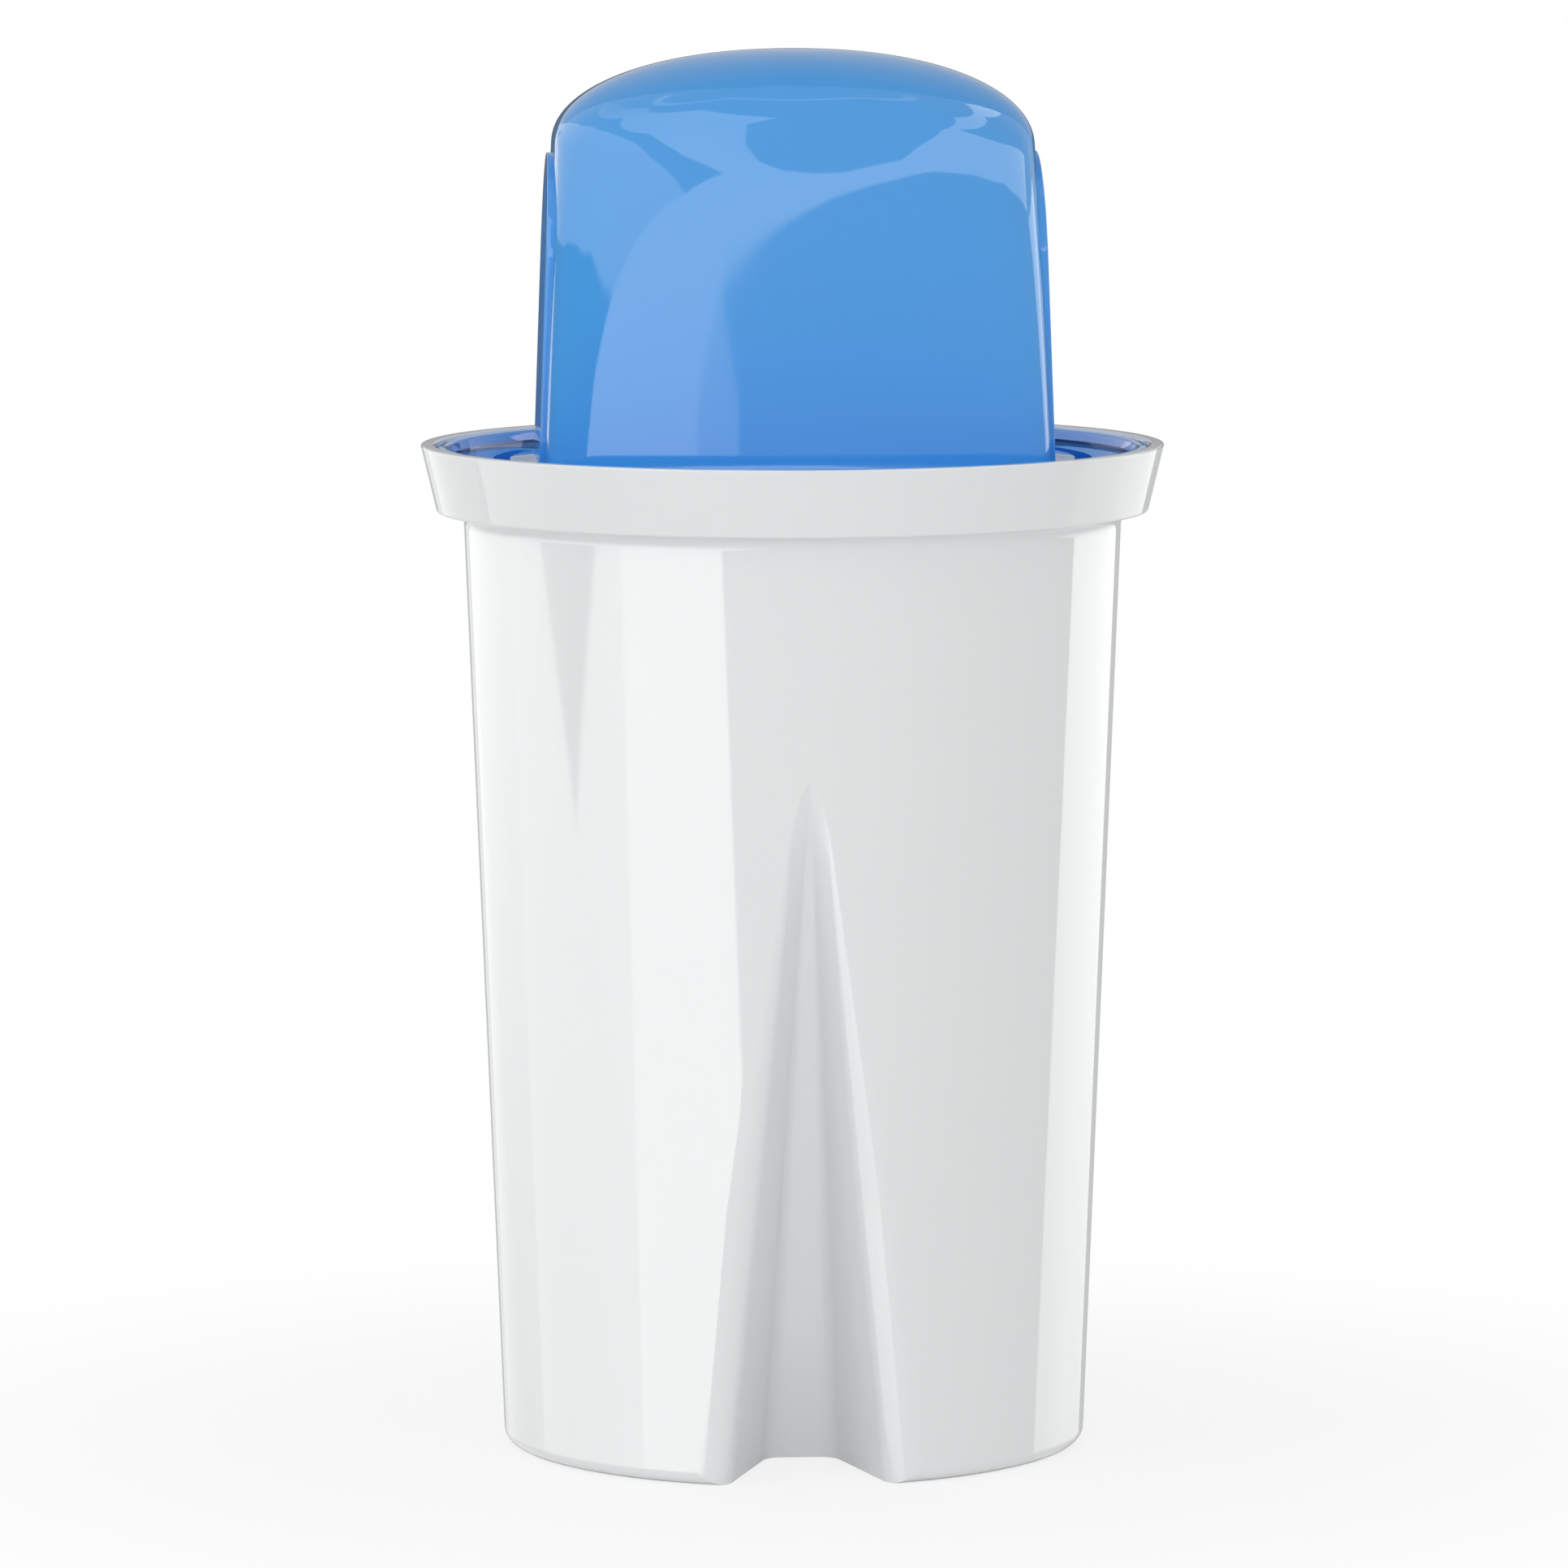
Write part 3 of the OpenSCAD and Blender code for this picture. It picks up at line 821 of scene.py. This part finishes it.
@dataclass
class Cap:
    """Blue cap: a sunk plate with a lip, and a tall dome with a window grille at each end."""

    cup: Cup
    plate_drop: float = 1.4 * MM
    plate_t: float = 1.8 * MM
    fit: float = 0.08 * MM
    lip_drop: float = 0.2 * MM
    lip_wall: float = 1.1 * MM
    skirt_wall: float = 1.5 * MM
    slit_h: float = 0.3 * MM
    slit_depth: float = 0.95 * MM
    arc_r: float = 27.4 * MM
    arc_w: float = 1.6 * MM
    arc_depth: float = 1.2 * MM
    arc_half_angle: float = 24.0
    dome_rise: float = 37.05 * MM
    dome_half_l: float = 23.6 * MM
    dome_half_w: float = 16.2 * MM
    draft: float = 2.1
    dome_wall: float = 1.3 * MM
    crown_h: float = 9.0 * MM
    crown_power: float = 13.0
    face_bulge: float = 0.16
    foot_r: float = 0.12 * MM
    arch_power: float = 2.15
    plan_top: float = 2.1
    plan_foot: float = 18.0
    panel_w: float = 19.0 * MM
    panel_h: float = 28.8 * MM
    panel_proud: float = 0.5 * MM
    panel_round: float = 0.2
    frame_w: float = 2.2 * MM
    window_slots: int = 5
    window_slot_w: float = 1.5 * MM
    pocket_depth: float = 0.5 * MM
    screen_lap: float = 1.0 * MM
    gap: float = 0.3 * MM
    plan_fade: float = 1.2
    plan_steps: int = 360
    quadrant_steps: int = 84
    levels: int = 110
    inner_levels: int = 24
    top_share: float = 0.997
    inner_top_share: float = 0.98
    crowding: float = 2.2
    foot_steps: int = 8
    tray_steps: int = 6
    window_steps: int = 6
    arc_steps: int = 32
    arch_steps: int = 40

    def __post_init__(self) -> None:
        """Derives the sizes that follow from the others."""
        self.plate_z = self.cup.height - self.plate_drop
        self.lip_z = self.cup.height - self.lip_drop
        self.dome_h = self.plate_drop + self.dome_rise
        self.lean = math.tan(math.radians(self.draft))

    def half_l(self, h: float) -> float:
        """Returns half of the dome's length at the height h above the plate."""
        arch = max(0.0, h - (self.dome_h - self.crown_h)) / self.crown_h
        straight = self.dome_half_l - min(h, self.dome_h - self.crown_h) * self.lean
        return straight * (1 - arch ** self.arch_power) ** (1 / self.arch_power)

    def half_w(self, h: float) -> float:
        """Returns half of the dome's width at the height h above the plate."""
        level = max(h, 0.0) / self.dome_h
        return (self.dome_half_w - h * self.lean) * math.sqrt(1 - level ** self.crown_power)

    def quarter(self, h: float, grow: float, steps: int) -> list[Point]:
        """Returns a quarter of the dome's plan at the height h, from its end to its long face."""
        length, width = self.half_l(h) + grow, self.half_w(h) + grow
        rise = 1 - max(h, 0.0) / self.dome_h
        power = self.plan_top + (self.plan_foot - self.plan_top) * rise ** self.plan_fade
        fine: list[Point] = []
        for k in range(self.plan_steps + 1):
            a = math.pi / 2 * k / self.plan_steps
            u, v = max(math.cos(a), 0.0), max(math.sin(a), 0.0)
            s = (u ** power + v ** power) ** (-1 / power)
            fine.append((length * s * u, width * s * v * (1 - self.face_bulge * (s * u) ** 2)))
        return even(fine, steps)

    def dome_ring(self, h: float, grow: float = 0.0) -> Ring:
        """Returns the dome's plan at the height h, counterclockwise from +X."""
        first = self.quarter(h, grow, self.quadrant_steps)
        points = first[:-1]
        points += [(-x, y) for x, y in reversed(first[1:])]
        points += [(-x, -y) for x, y in first[:-1]]
        points += [(x, -y) for x, y in reversed(first[1:])]
        return [Vector((x, y, self.plate_z + h)) for x, y in points]

    def foot_grow(self, h: float) -> float:
        """Returns how far the fillet at the dome's foot reaches out at the height h."""
        if h >= self.foot_r:
            return 0.0
        return self.foot_r - math.sqrt(self.foot_r ** 2 - (self.foot_r - h) ** 2)

    def outside(self) -> list[Ring]:
        """Returns the dome's outer rings, from the plate to the apex."""
        rings = []
        for k in range(self.foot_steps):
            h = self.foot_r * (1 - math.cos(math.pi / 2 * k / self.foot_steps))
            rings.append(self.dome_ring(h, self.foot_grow(h)))
        start = 1 - (1 - self.foot_r / self.dome_h) ** (1 / self.crowding)
        for k in range(self.levels + 1):
            q = start + (self.top_share - start) * k / self.levels
            rings.append(self.dome_ring(self.dome_h * (1 - (1 - q) ** self.crowding)))
        return rings

    def inside(self) -> list[Ring]:
        """Returns the rings of the dome's hollow, from its top down to below the plate."""
        share = (self.dome_h - self.dome_wall) / self.dome_h
        in_l = 1 - self.dome_wall / self.dome_half_l
        in_w = 1 - self.dome_wall / self.dome_half_w
        rings = []
        for k in range(self.inner_levels, -1, -1):
            q = self.inner_top_share * k / self.inner_levels
            h = self.dome_h * (1 - (1 - q) ** self.crowding)
            rings.append([
                Vector((p.x * in_l, p.y * in_w, self.plate_z + (p.z - self.plate_z) * share))
                for p in self.dome_ring(h)])
        rings.append([Vector((p.x, p.y, self.plate_z - self.plate_t)) for p in rings[-1]])
        return rings

    def tray_profile(self) -> list[Point]:
        """Returns the profile (radius, height) of the tray, from the skirt round to the plate."""
        cup = self.cup
        out_r = cup.collar_in_r(cup.ledge_z) - self.fit
        top_r = cup.collar_in_r(self.lip_z) - self.fit
        slit_z = self.plate_z + self.slit_h
        slit_r = cup.collar_in_r(slit_z) - self.fit - self.lip_wall
        edge = self.lip_wall / 4
        under = self.plate_z - self.plate_t
        path = rounded([
            (out_r - self.skirt_wall, under, 0),
            (out_r - self.skirt_wall, cup.ledge_z, 0),
            (out_r, cup.ledge_z, 0),
            (top_r, self.lip_z, edge),
            (top_r - self.lip_wall, self.lip_z, edge),
            (slit_r, slit_z, 0),
            (slit_r + self.slit_depth, slit_z, 0),
            (slit_r + self.slit_depth, self.plate_z, 0),
            (self.dome_half_l, self.plate_z, 0),
        ], self.tray_steps)
        return path[:-1]

    def body(self) -> bpy.types.Object:
        """Returns the cap without its windows and arc slots, as one loft."""
        outside = self.outside()
        turns = [math.atan2(p.y, p.x) for p in outside[0]]
        rings = self.inside()
        for r, z in self.tray_profile():
            rings.append([Vector((r * math.cos(a), r * math.sin(a), z)) for a in turns])
        rings += outside
        top = self.plate_z + self.dome_h
        return loft("cap_body", rings, [Vector((0, 0, top - self.dome_wall)), Vector((0, 0, top))])

    def on_end(self, side: int) -> Matrix:
        """Returns the place of a drawing on an end of the dome: its X across, its Y up."""
        turn = Matrix.Rotation(0.0 if side > 0 else math.pi, 4, "Z")
        shift = Matrix.Translation((self.dome_half_l, 0, self.plate_z))
        tilt = Matrix.Rotation(-math.radians(self.draft), 4, "Y")
        stand = Matrix(((0, 0, 1, 0), (1, 0, 0, 0), (0, 1, 0, 0), (0, 0, 0, 1)))
        return turn @ shift @ tilt @ stand

    def arch(self, width: float, height: float, foot: float) -> list[Point]:
        """Returns an outline with straight sides and a round top, counterclockwise."""
        r = width / 2
        turns = [math.pi * k / self.arch_steps for k in range(self.arch_steps + 1)]
        top = [(r * math.cos(turn), height - r + r * math.sin(turn)) for turn in turns]
        return [(-r, foot), (r, foot)] + top

    def panel(self, side: int) -> bpy.types.Object:
        """Returns the raised panel of an end."""
        edit = prism(self.arch(self.panel_w, self.panel_h, -MM), -self.dome_wall / 2,
                     self.panel_proud, self.panel_proud * self.panel_round)
        return to_object("panel", edit, self.on_end(side))

    def window_cutters(self, side: int) -> list[bpy.types.Object]:
        """Returns the cutters of an end's slots, and of the pocket behind them."""
        tall, wide = self.panel_h - self.frame_w, self.panel_w - 2 * self.frame_w
        pitch = wide / self.window_slots
        parts = []
        for k in range(self.window_slots):
            x = (k - (self.window_slots - 1) / 2) * pitch
            half, steps = self.window_slot_w / 2, self.window_steps
            r = wide / 2
            top = [(x + half - 2 * half * i / steps) for i in range(steps + 1)]
            outline = [(x - half, self.frame_w), (x + half, self.frame_w)]
            outline += [(t, tall - r + math.sqrt(max(r * r - t * t, 0.0))) for t in top]
            edit = prism(outline, -self.dome_wall - MM, self.panel_proud + MM)
            parts.append(to_object("window_slot", edit, self.on_end(side)))
        lap = self.frame_w - self.screen_lap - self.gap
        edit = prism(self.arch(self.panel_w - 2 * lap, self.panel_h - lap, lap),
                     -self.dome_wall - MM, -self.dome_wall + self.pocket_depth)
        parts.append(to_object("pocket", edit, self.on_end(side)))
        return parts

    def arc_slot(self, side: int) -> bpy.types.Object:
        """Returns the cutter of the arc slot beside an end of the dome."""
        half, steps, end_steps = self.arc_w / 2, self.arc_steps, self.foot_steps
        angle = math.radians(self.arc_half_angle)
        middle_x, middle_y = self.arc_r * math.cos(angle), self.arc_r * math.sin(angle)
        outline: list[Point] = []
        for r, way in ((self.arc_r + half, 1), (self.arc_r - half, -1)):
            for k in range(steps + 1):
                a = way * (2 * angle * k / steps - angle)
                outline.append((r * math.cos(a), r * math.sin(a)))
            for k in range(1, end_steps):
                a = way * angle + math.pi * k / end_steps
                if way < 0:
                    a += math.pi
                outline.append((middle_x + half * math.cos(a), way * middle_y + half * math.sin(a)))
        edit = prism(outline, self.plate_z - self.arc_depth, self.plate_z + 0.5 * MM)
        return to_object("arc_slot", edit, Matrix.Rotation(0.0 if side > 0 else math.pi, 4, "Z"))

    def build(self) -> bpy.types.Object:
        """Builds the cap, dresses it and returns it."""
        piece = self.body()
        sides = (-1, 1)
        carve(piece, merged("panels", [self.panel(side) for side in sides]), "UNION")
        for side in sides:
            *slots, pocket = self.window_cutters(side)
            carve(piece, pocket, "DIFFERENCE")
            carve(piece, merged("window_slots", slots), "DIFFERENCE")
        carve(piece, merged("arc_slots", [self.arc_slot(side) for side in sides]), "DIFFERENCE")
        piece.name = "domed_cap"
        smooth(piece)
        return dress(piece, Slot.CAP, "cap")


# The filling


@dataclass
class Filling:
    """Screens, pads and beds, which keep their CAD shapes and get their finishes."""

    nodes: dict[str, Slot] = field(default_factory=lambda: {
        "inlet_screen_left": Slot.SCREEN,
        "inlet_screen_right": Slot.SCREEN,
        "upper_pad": Slot.FELT,
        "carbon_bed": Slot.CARBON,
        "middle_pad": Slot.FELT,
        "resin_bed": Slot.RESIN,
        "lower_pad": Slot.FELT,
        "outlet_screen": Slot.SCREEN,
    })

    def build(self, frame: dict[str, Any]) -> None:
        """Dresses the nodes."""
        for name, slot in self.nodes.items():
            piece = frame["nodes"][name]
            piece.data.materials.clear()
            piece.data.materials.append(finish_of(slot))
            log.info("%s: dressed as %s", name, slot.value)


# The studio


def direction(azimuth: float, elevation: float) -> Vector:
    """Returns a direction, from degrees round from -Y towards +X and degrees up."""
    a, e = math.radians(azimuth), math.radians(elevation)
    return Vector((math.sin(a) * math.cos(e), -math.cos(a) * math.cos(e), math.sin(e)))


@dataclass(frozen=True)
class Card:
    """A card that the gloss of the cartridge shows: a bright lamp front, or a grey flag.

    Attributes:
        name: name of the card.
        corners: direction of each corner as seen from the aim, as degrees round from the
            camera's side towards +X, and degrees up. It curves round the aim between them.
        levels: brightness of each corner, where 1 is white, or one brightness for all.
        aim: height that the directions are seen from.
        distance: distance from the aim.
    """

    name: str
    corners: tuple[Point, ...]
    levels: tuple[float, ...]
    aim: float = 60 * MM
    distance: float = 6.0

    def build(self, turn: float) -> bpy.types.Object:
        """Builds the card, with the camera's side turned by that many degrees."""
        edit = bmesh.new()
        level = edit.verts.layers.float.new("level")
        for i, (azimuth, elevation) in enumerate(self.corners):
            point = edit.verts.new((azimuth, elevation, 0))
            point[level] = self.levels[i % len(self.levels)]
        edit.faces.new(edit.verts)
        bmesh.ops.triangulate(edit, faces=edit.faces)
        for _ in range(CARD_BENDS):
            bmesh.ops.subdivide_edges(edit, edges=edit.edges, cuts=1, use_grid_fill=True)
        for point in edit.verts:
            out = direction(point.co.x + turn, point.co.y)
            point.co = Vector((0, 0, self.aim)) + out * self.distance
        card = to_object(self.name, edit)
        shader = Shader(self.name)
        glow = shader.node("ShaderNodeAttribute", out="Fac", settings={"attribute_name": "level"})
        card.data.materials.append(shader.finish(
            Base_Color=(0, 0, 0, 1), Specular_IOR_Level=0.0, Emission_Color=glow,
            Emission_Strength=1.0))
        card.visible_camera = False
        card.visible_diffuse = False
        card.visible_shadow = False
        return card


@dataclass(frozen=True)
class Lamp:
    """A large soft lamp that shows in no gloss.

    Attributes:
        name: name of the lamp.
        azimuth: degrees round from the camera's side towards +X.
        elevation: degrees up.
        power: its power, in watts.
        aim: height that it points at.
        distance: distance from the aim.
        size: diameter of its front.
    """

    name: str
    azimuth: float
    elevation: float
    power: float
    aim: float = 60 * MM
    distance: float = 1.2
    size: float = 0.6

    def build(self, turn: float) -> None:
        """Builds the lamp, with the camera's side turned by that many degrees."""
        data = bpy.data.lights.new(self.name, "AREA")
        data.shape = "DISK"
        data.size = self.size
        data.energy = self.power
        out = direction(self.azimuth + turn, self.elevation)
        lamp = link(bpy.data.objects.new(self.name, data))
        lamp.location = Vector((0, 0, self.aim)) + out * self.distance
        lamp.rotation_euler = out.to_track_quat("Z", "Y").to_euler()
        lamp.visible_glossy = False


@dataclass
class Studio:
    """Camera, cards, lamps, room and floor.

    Attributes:
        turn: degrees by which the camera's side is turned round from -Y.
        distance: distance of the camera from the axis.
        height: height of the camera.
        aside: how far the camera stands to the right.
        pitch: degrees by which it looks down.
        roll: degrees by which it is rolled.
        focal: its focal length, in pixels of a frame that is frame_px wide.
        room_level: strength of the even light from all round.
        stand_r: radius of the paper that the gloss sees under the cup.
        shadow_r: radius up to which the camera sees the floor's shadow best.
        white_r: radius from which it sees the floor pure white.
        least_white: share of white in the floor within shadow_r.
    """

    turn: float = -3.0
    distance: float = 860.6 * MM
    height: float = 157.24 * MM
    aside: float = -0.84 * MM
    pitch: float = 6.285
    roll: float = -0.096
    focal: float = 11280.0
    frame_px: float = 1932.0
    sensor: float = 36.0
    room_level: float = 0.70
    lamps: tuple[Lamp, ...] = (
        Lamp("front_lamp", azimuth=0.0, elevation=12.0, power=2.4),
        Lamp("left_lamp", azimuth=-60.0, elevation=25.0, power=1.1),
    )
    floor_r: float = 14.0
    floor_drop: float = 0.03 * MM
    stand_r: float = 27 * MM
    stand_drop: float = 0.02 * MM
    disc_steps: int = 96
    shadow_r: float = 0.03
    white_r: float = 0.13
    least_white: float = 0.75
    cards: tuple[Card, ...] = (
        Card("low_left", ((-31, -4.5), (-62, -4.5), (-62, -17), (-13, -17)), (4.7,)),
        Card("low_left_far", ((-62, -4.5), (-118, -4.5), (-118, -17), (-62, -17)),
             (3.8, 3.2, 2.0, 3.4)),
        Card("low_left_foot", ((-13, -17), (-62, -17), (-62, -25), (-6, -25)),
             (3.4, 3.4, 1.4, 1.6)),
        Card("low_left_foot_far", ((-62, -17), (-118, -17), (-118, -22), (-62, -25)),
             (3.4, 2.0, 1.0, 1.4)),
        Card("low_left_side", ((-118, -4.5), (-158, -4.5), (-158, -17), (-118, -17)),
             (3.2, 1.8, 0.8, 1.2)),
        Card("low_left_flag", ((-104, -6.5), (-60, -6.5), (-85.5, -9.7)), (1.8, 0.4, 0.7),
             distance=5.8),
        Card("low_right", ((118.5, -4.5), (108, -17), (138, -17), (138, -4.5)),
             (3.7, 1.9, 1.4, 2.8)),
        Card("low_right_foot", ((108, -17), (102, -24), (158, -22), (158, -17)),
             (1.9, 1.0, 0.7, 0.8)),
        Card("low_right_side", ((138, -4.5), (138, -17), (158, -17), (158, -4.5)),
             (2.8, 1.4, 0.8, 1.9)),
        Card("back_left_flag", ((-166, -25), (-166, -4.5), (-180, -4.5), (-180, -25)), (0.5,)),
        Card("back_right_flag", ((158, -25), (158, 1), (180, 1), (180, -25)), (0.55,)),
        Card("back_high_flag", ((145, 1), (212, 1), (215, 84), (125, 84)),
             (0.62, 0.62, 0.48, 0.48), DOME_AIM),
        Card("panel_flag", ((154, -4.3), (196, -4.3), (196, 4), (154, 4)), (0.12,), DOME_AIM, 5.7),
        Card("left_edge", ((-138, -4.3), (-138, 1), (-160, 5), (-164, -4.3)), (1.5,), DOME_AIM,
             5.8),
        Card("strip", ((-19, -5), (-21, 1.5), (-19, 2.5), (-7.5, 4.5), (-2.5, 7), (4, 7.5),
                       (12.5, 4.2), (6, 2.3), (1, 1.4), (-2.5, 1), (-4.9, 0.2), (-4.9, -5)),
             (3.4,), DOME_AIM),
        Card("strip_side", ((-4.9, -5), (-4.9, 0.2), (-2.5, 1), (-0.5, 0.2), (-0.5, -5)),
             (2.4,), DOME_AIM),
        Card("sweep", ((4, 7.5), (7.5, 6.8), (11, 6.9), (19, 11), (26, 21), (40, 38), (68, 55),
                       (128, 56), (151, 34), (106, 51), (50, 41), (75, 29), (115, 13), (101, 8.5),
                       (83, 12), (61, 14.5), (40, 13), (25, 9.5), (17, 5.8), (12.5, 4.2)),
             (3.4,), DOME_AIM),
        Card("arm", ((-2.5, 7), (-10, 14), (-28, 37), (-80, 60), (-146, 45), (-135, 56), (-91, 69),
                     (-19, 60), (4, 40), (-0.5, 34), (0, 17), (1.5, 10), (4, 7.5)),
             (3.3, 3.3, 3.0, 2.4, 1.2, 1.2, 2.0, 3.0, 3.0, 3.0, 3.0, 3.3, 3.3), DOME_AIM),
        Card("top_line", ((-136, 67), (-21, 75), (10, 66), (38, 71), (113, 69), (113, 71.5),
                          (38, 73.5), (10, 68.5), (-21, 77.5), (-136, 69.5)), (2.0,), DOME_AIM),
        Card("shoulder", ((-174, -4.2), (-19, -4.2), (-21, 1.5), (-19, 2.5), (-7.5, 4.5),
                          (-13, 10.5), (-21, 18), (-33, 31), (-46, 39), (-66, 46), (-100, 46.5),
                          (-130, 34), (-145, 22), (-166, 5), (-174, 4)),
             (0.9, 2.5, 2.5, 2.5, 2.6, 2.6, 2.6, 2.6, 2.6, 2.6, 2.4, 2.0, 1.6, 1.0, 0.9),
             DOME_AIM),
        Card("left_flag", ((-18, -4.3), (-21, 1.5), (-19, 2.5), (-24, 3.6), (-38, 7), (-58, 8.8),
                           (-69, 8.9), (-84, 8.2), (-111, 5), (-137, 1.4), (-137, -4.3)),
             (0.3,), DOME_AIM, 5.8),
        Card("right_edge", ((104, -4), (135, -4), (135, 5), (101, 8)), (3.5,), DOME_AIM),
    )

    def camera(self) -> None:
        """Adds the camera at the photograph's place."""
        data = bpy.data.cameras.new("camera")
        data.sensor_width = self.sensor
        data.lens = self.focal / self.frame_px * self.sensor
        data.clip_start, data.clip_end = self.distance / 10, 3 * self.floor_r
        turn = Matrix.Rotation(math.radians(self.turn), 4, "Z")
        at = turn @ Vector((self.aside, -self.distance, self.height))
        look = Matrix.Rotation(math.radians(90 - self.pitch), 4, "X")
        roll = Matrix.Rotation(math.radians(self.roll), 4, "Z")
        camera = link(bpy.data.objects.new("camera", data))
        camera.matrix_world = Matrix.Translation(at) @ turn @ look @ roll
        bpy.context.scene.camera = camera

    def room(self) -> None:
        """Fills the room with even light, and shows it white to the camera and in reflections."""
        world = bpy.data.worlds.new("room")
        world.use_nodes = True
        tree = world.node_tree
        seen = add_node(tree, "ShaderNodeLightPath", out="Is Camera Ray")
        for ray in ("Is Glossy Ray", "Is Transmission Ray"):
            seen = seen.at_least(add_node(tree, "ShaderNodeLightPath", out=ray))
        back = tree.nodes["Background"]
        back.inputs["Color"].default_value = (1.0, 1.0, 1.0, 1.0)
        plug(tree, self.room_level + (1.0 - self.room_level) * seen, back.inputs["Strength"])
        bpy.context.scene.world = world

    def disc(self, name: str, radius: float, drop: float) -> bpy.types.Object:
        """Returns a level disc, dropped below the surface that the cartridge stands on."""
        edit = bmesh.new()
        bmesh.ops.create_circle(edit, cap_ends=True, radius=radius, segments=self.disc_steps)
        return to_object(name, edit, Matrix.Translation((0, 0, -drop)))

    def paper(self) -> bpy.types.Material:
        """Returns white paper, which the camera sees turn to pure white away from the foot."""
        shader = Shader("floor_paper")
        mottle = shader.noise(60.0, 3.0)
        distance = shader.node("ShaderNodeVectorMath", out="Value", Vector=shader.place,
                               settings={"operation": "LENGTH"})
        far = shader.node("ShaderNodeMapRange", Value=distance, From_Min=self.shadow_r,
                          From_Max=self.white_r, To_Min=self.least_white,
                          settings={"interpolation_type": "SMOOTHSTEP"})
        paper = shader.finish(
            Base_Color=shader.mix(mottle, rgba((0.93, 0.93, 0.93)), rgba((0.95, 0.95, 0.95))),
            Roughness=0.9, Specular_IOR_Level=0.0)
        camera = shader.node("ShaderNodeLightPath", out="Is Camera Ray")
        white = shader.node("ShaderNodeEmission", Strength=1.0)
        mixed = shader.node("ShaderNodeMixShader", _0=far * camera, _2=white,
                            _1=Socket(shader.tree, shader.surface.outputs[0]))
        plug(shader.tree, mixed, shader.output.inputs["Surface"])
        return paper

    def floor(self) -> None:
        """Adds a pale floor that keeps the cartridge's soft shadow and turns white further out."""
        floor = self.disc("floor", self.floor_r, self.floor_drop)
        floor.visible_glossy = False
        stand = self.disc("stand_paper", self.stand_r, self.stand_drop)
        stand.visible_camera = False
        stand.visible_diffuse = False
        stand.visible_shadow = False
        paper = self.paper()
        for sheet in (floor, stand):
            sheet.data.materials.append(paper)

    def build(self) -> None:
        """Sets up the studio."""
        self.camera()
        for lamp in self.lamps:
            lamp.build(self.turn)
        self.room()
        self.floor()
        for card in self.cards:
            card.build(self.turn)
        bpy.context.scene.view_settings.view_transform = "Standard"


def corners(box: Iterable[Iterable[float]]) -> list[list[float]]:
    """Returns a box's two corners as plain lists."""
    return [[float(value) for value in point] for point in box]


def main() -> None:
    """Builds the cartridge and its studio."""
    logging.basicConfig(level=logging.INFO, format="%(message)s")
    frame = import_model()
    cup = Cup()
    steps: list[tuple[str, Callable[[], Any]]] = [
        ("studio", Studio().build),
        ("cup", cup.build),
        ("cap", Cap(cup).build),
        ("filling", lambda: Filling().build(frame)),
    ]
    for name, step in steps:
        step()
        log.info("%s is built", name)


if __name__ == "__main__":
    main()
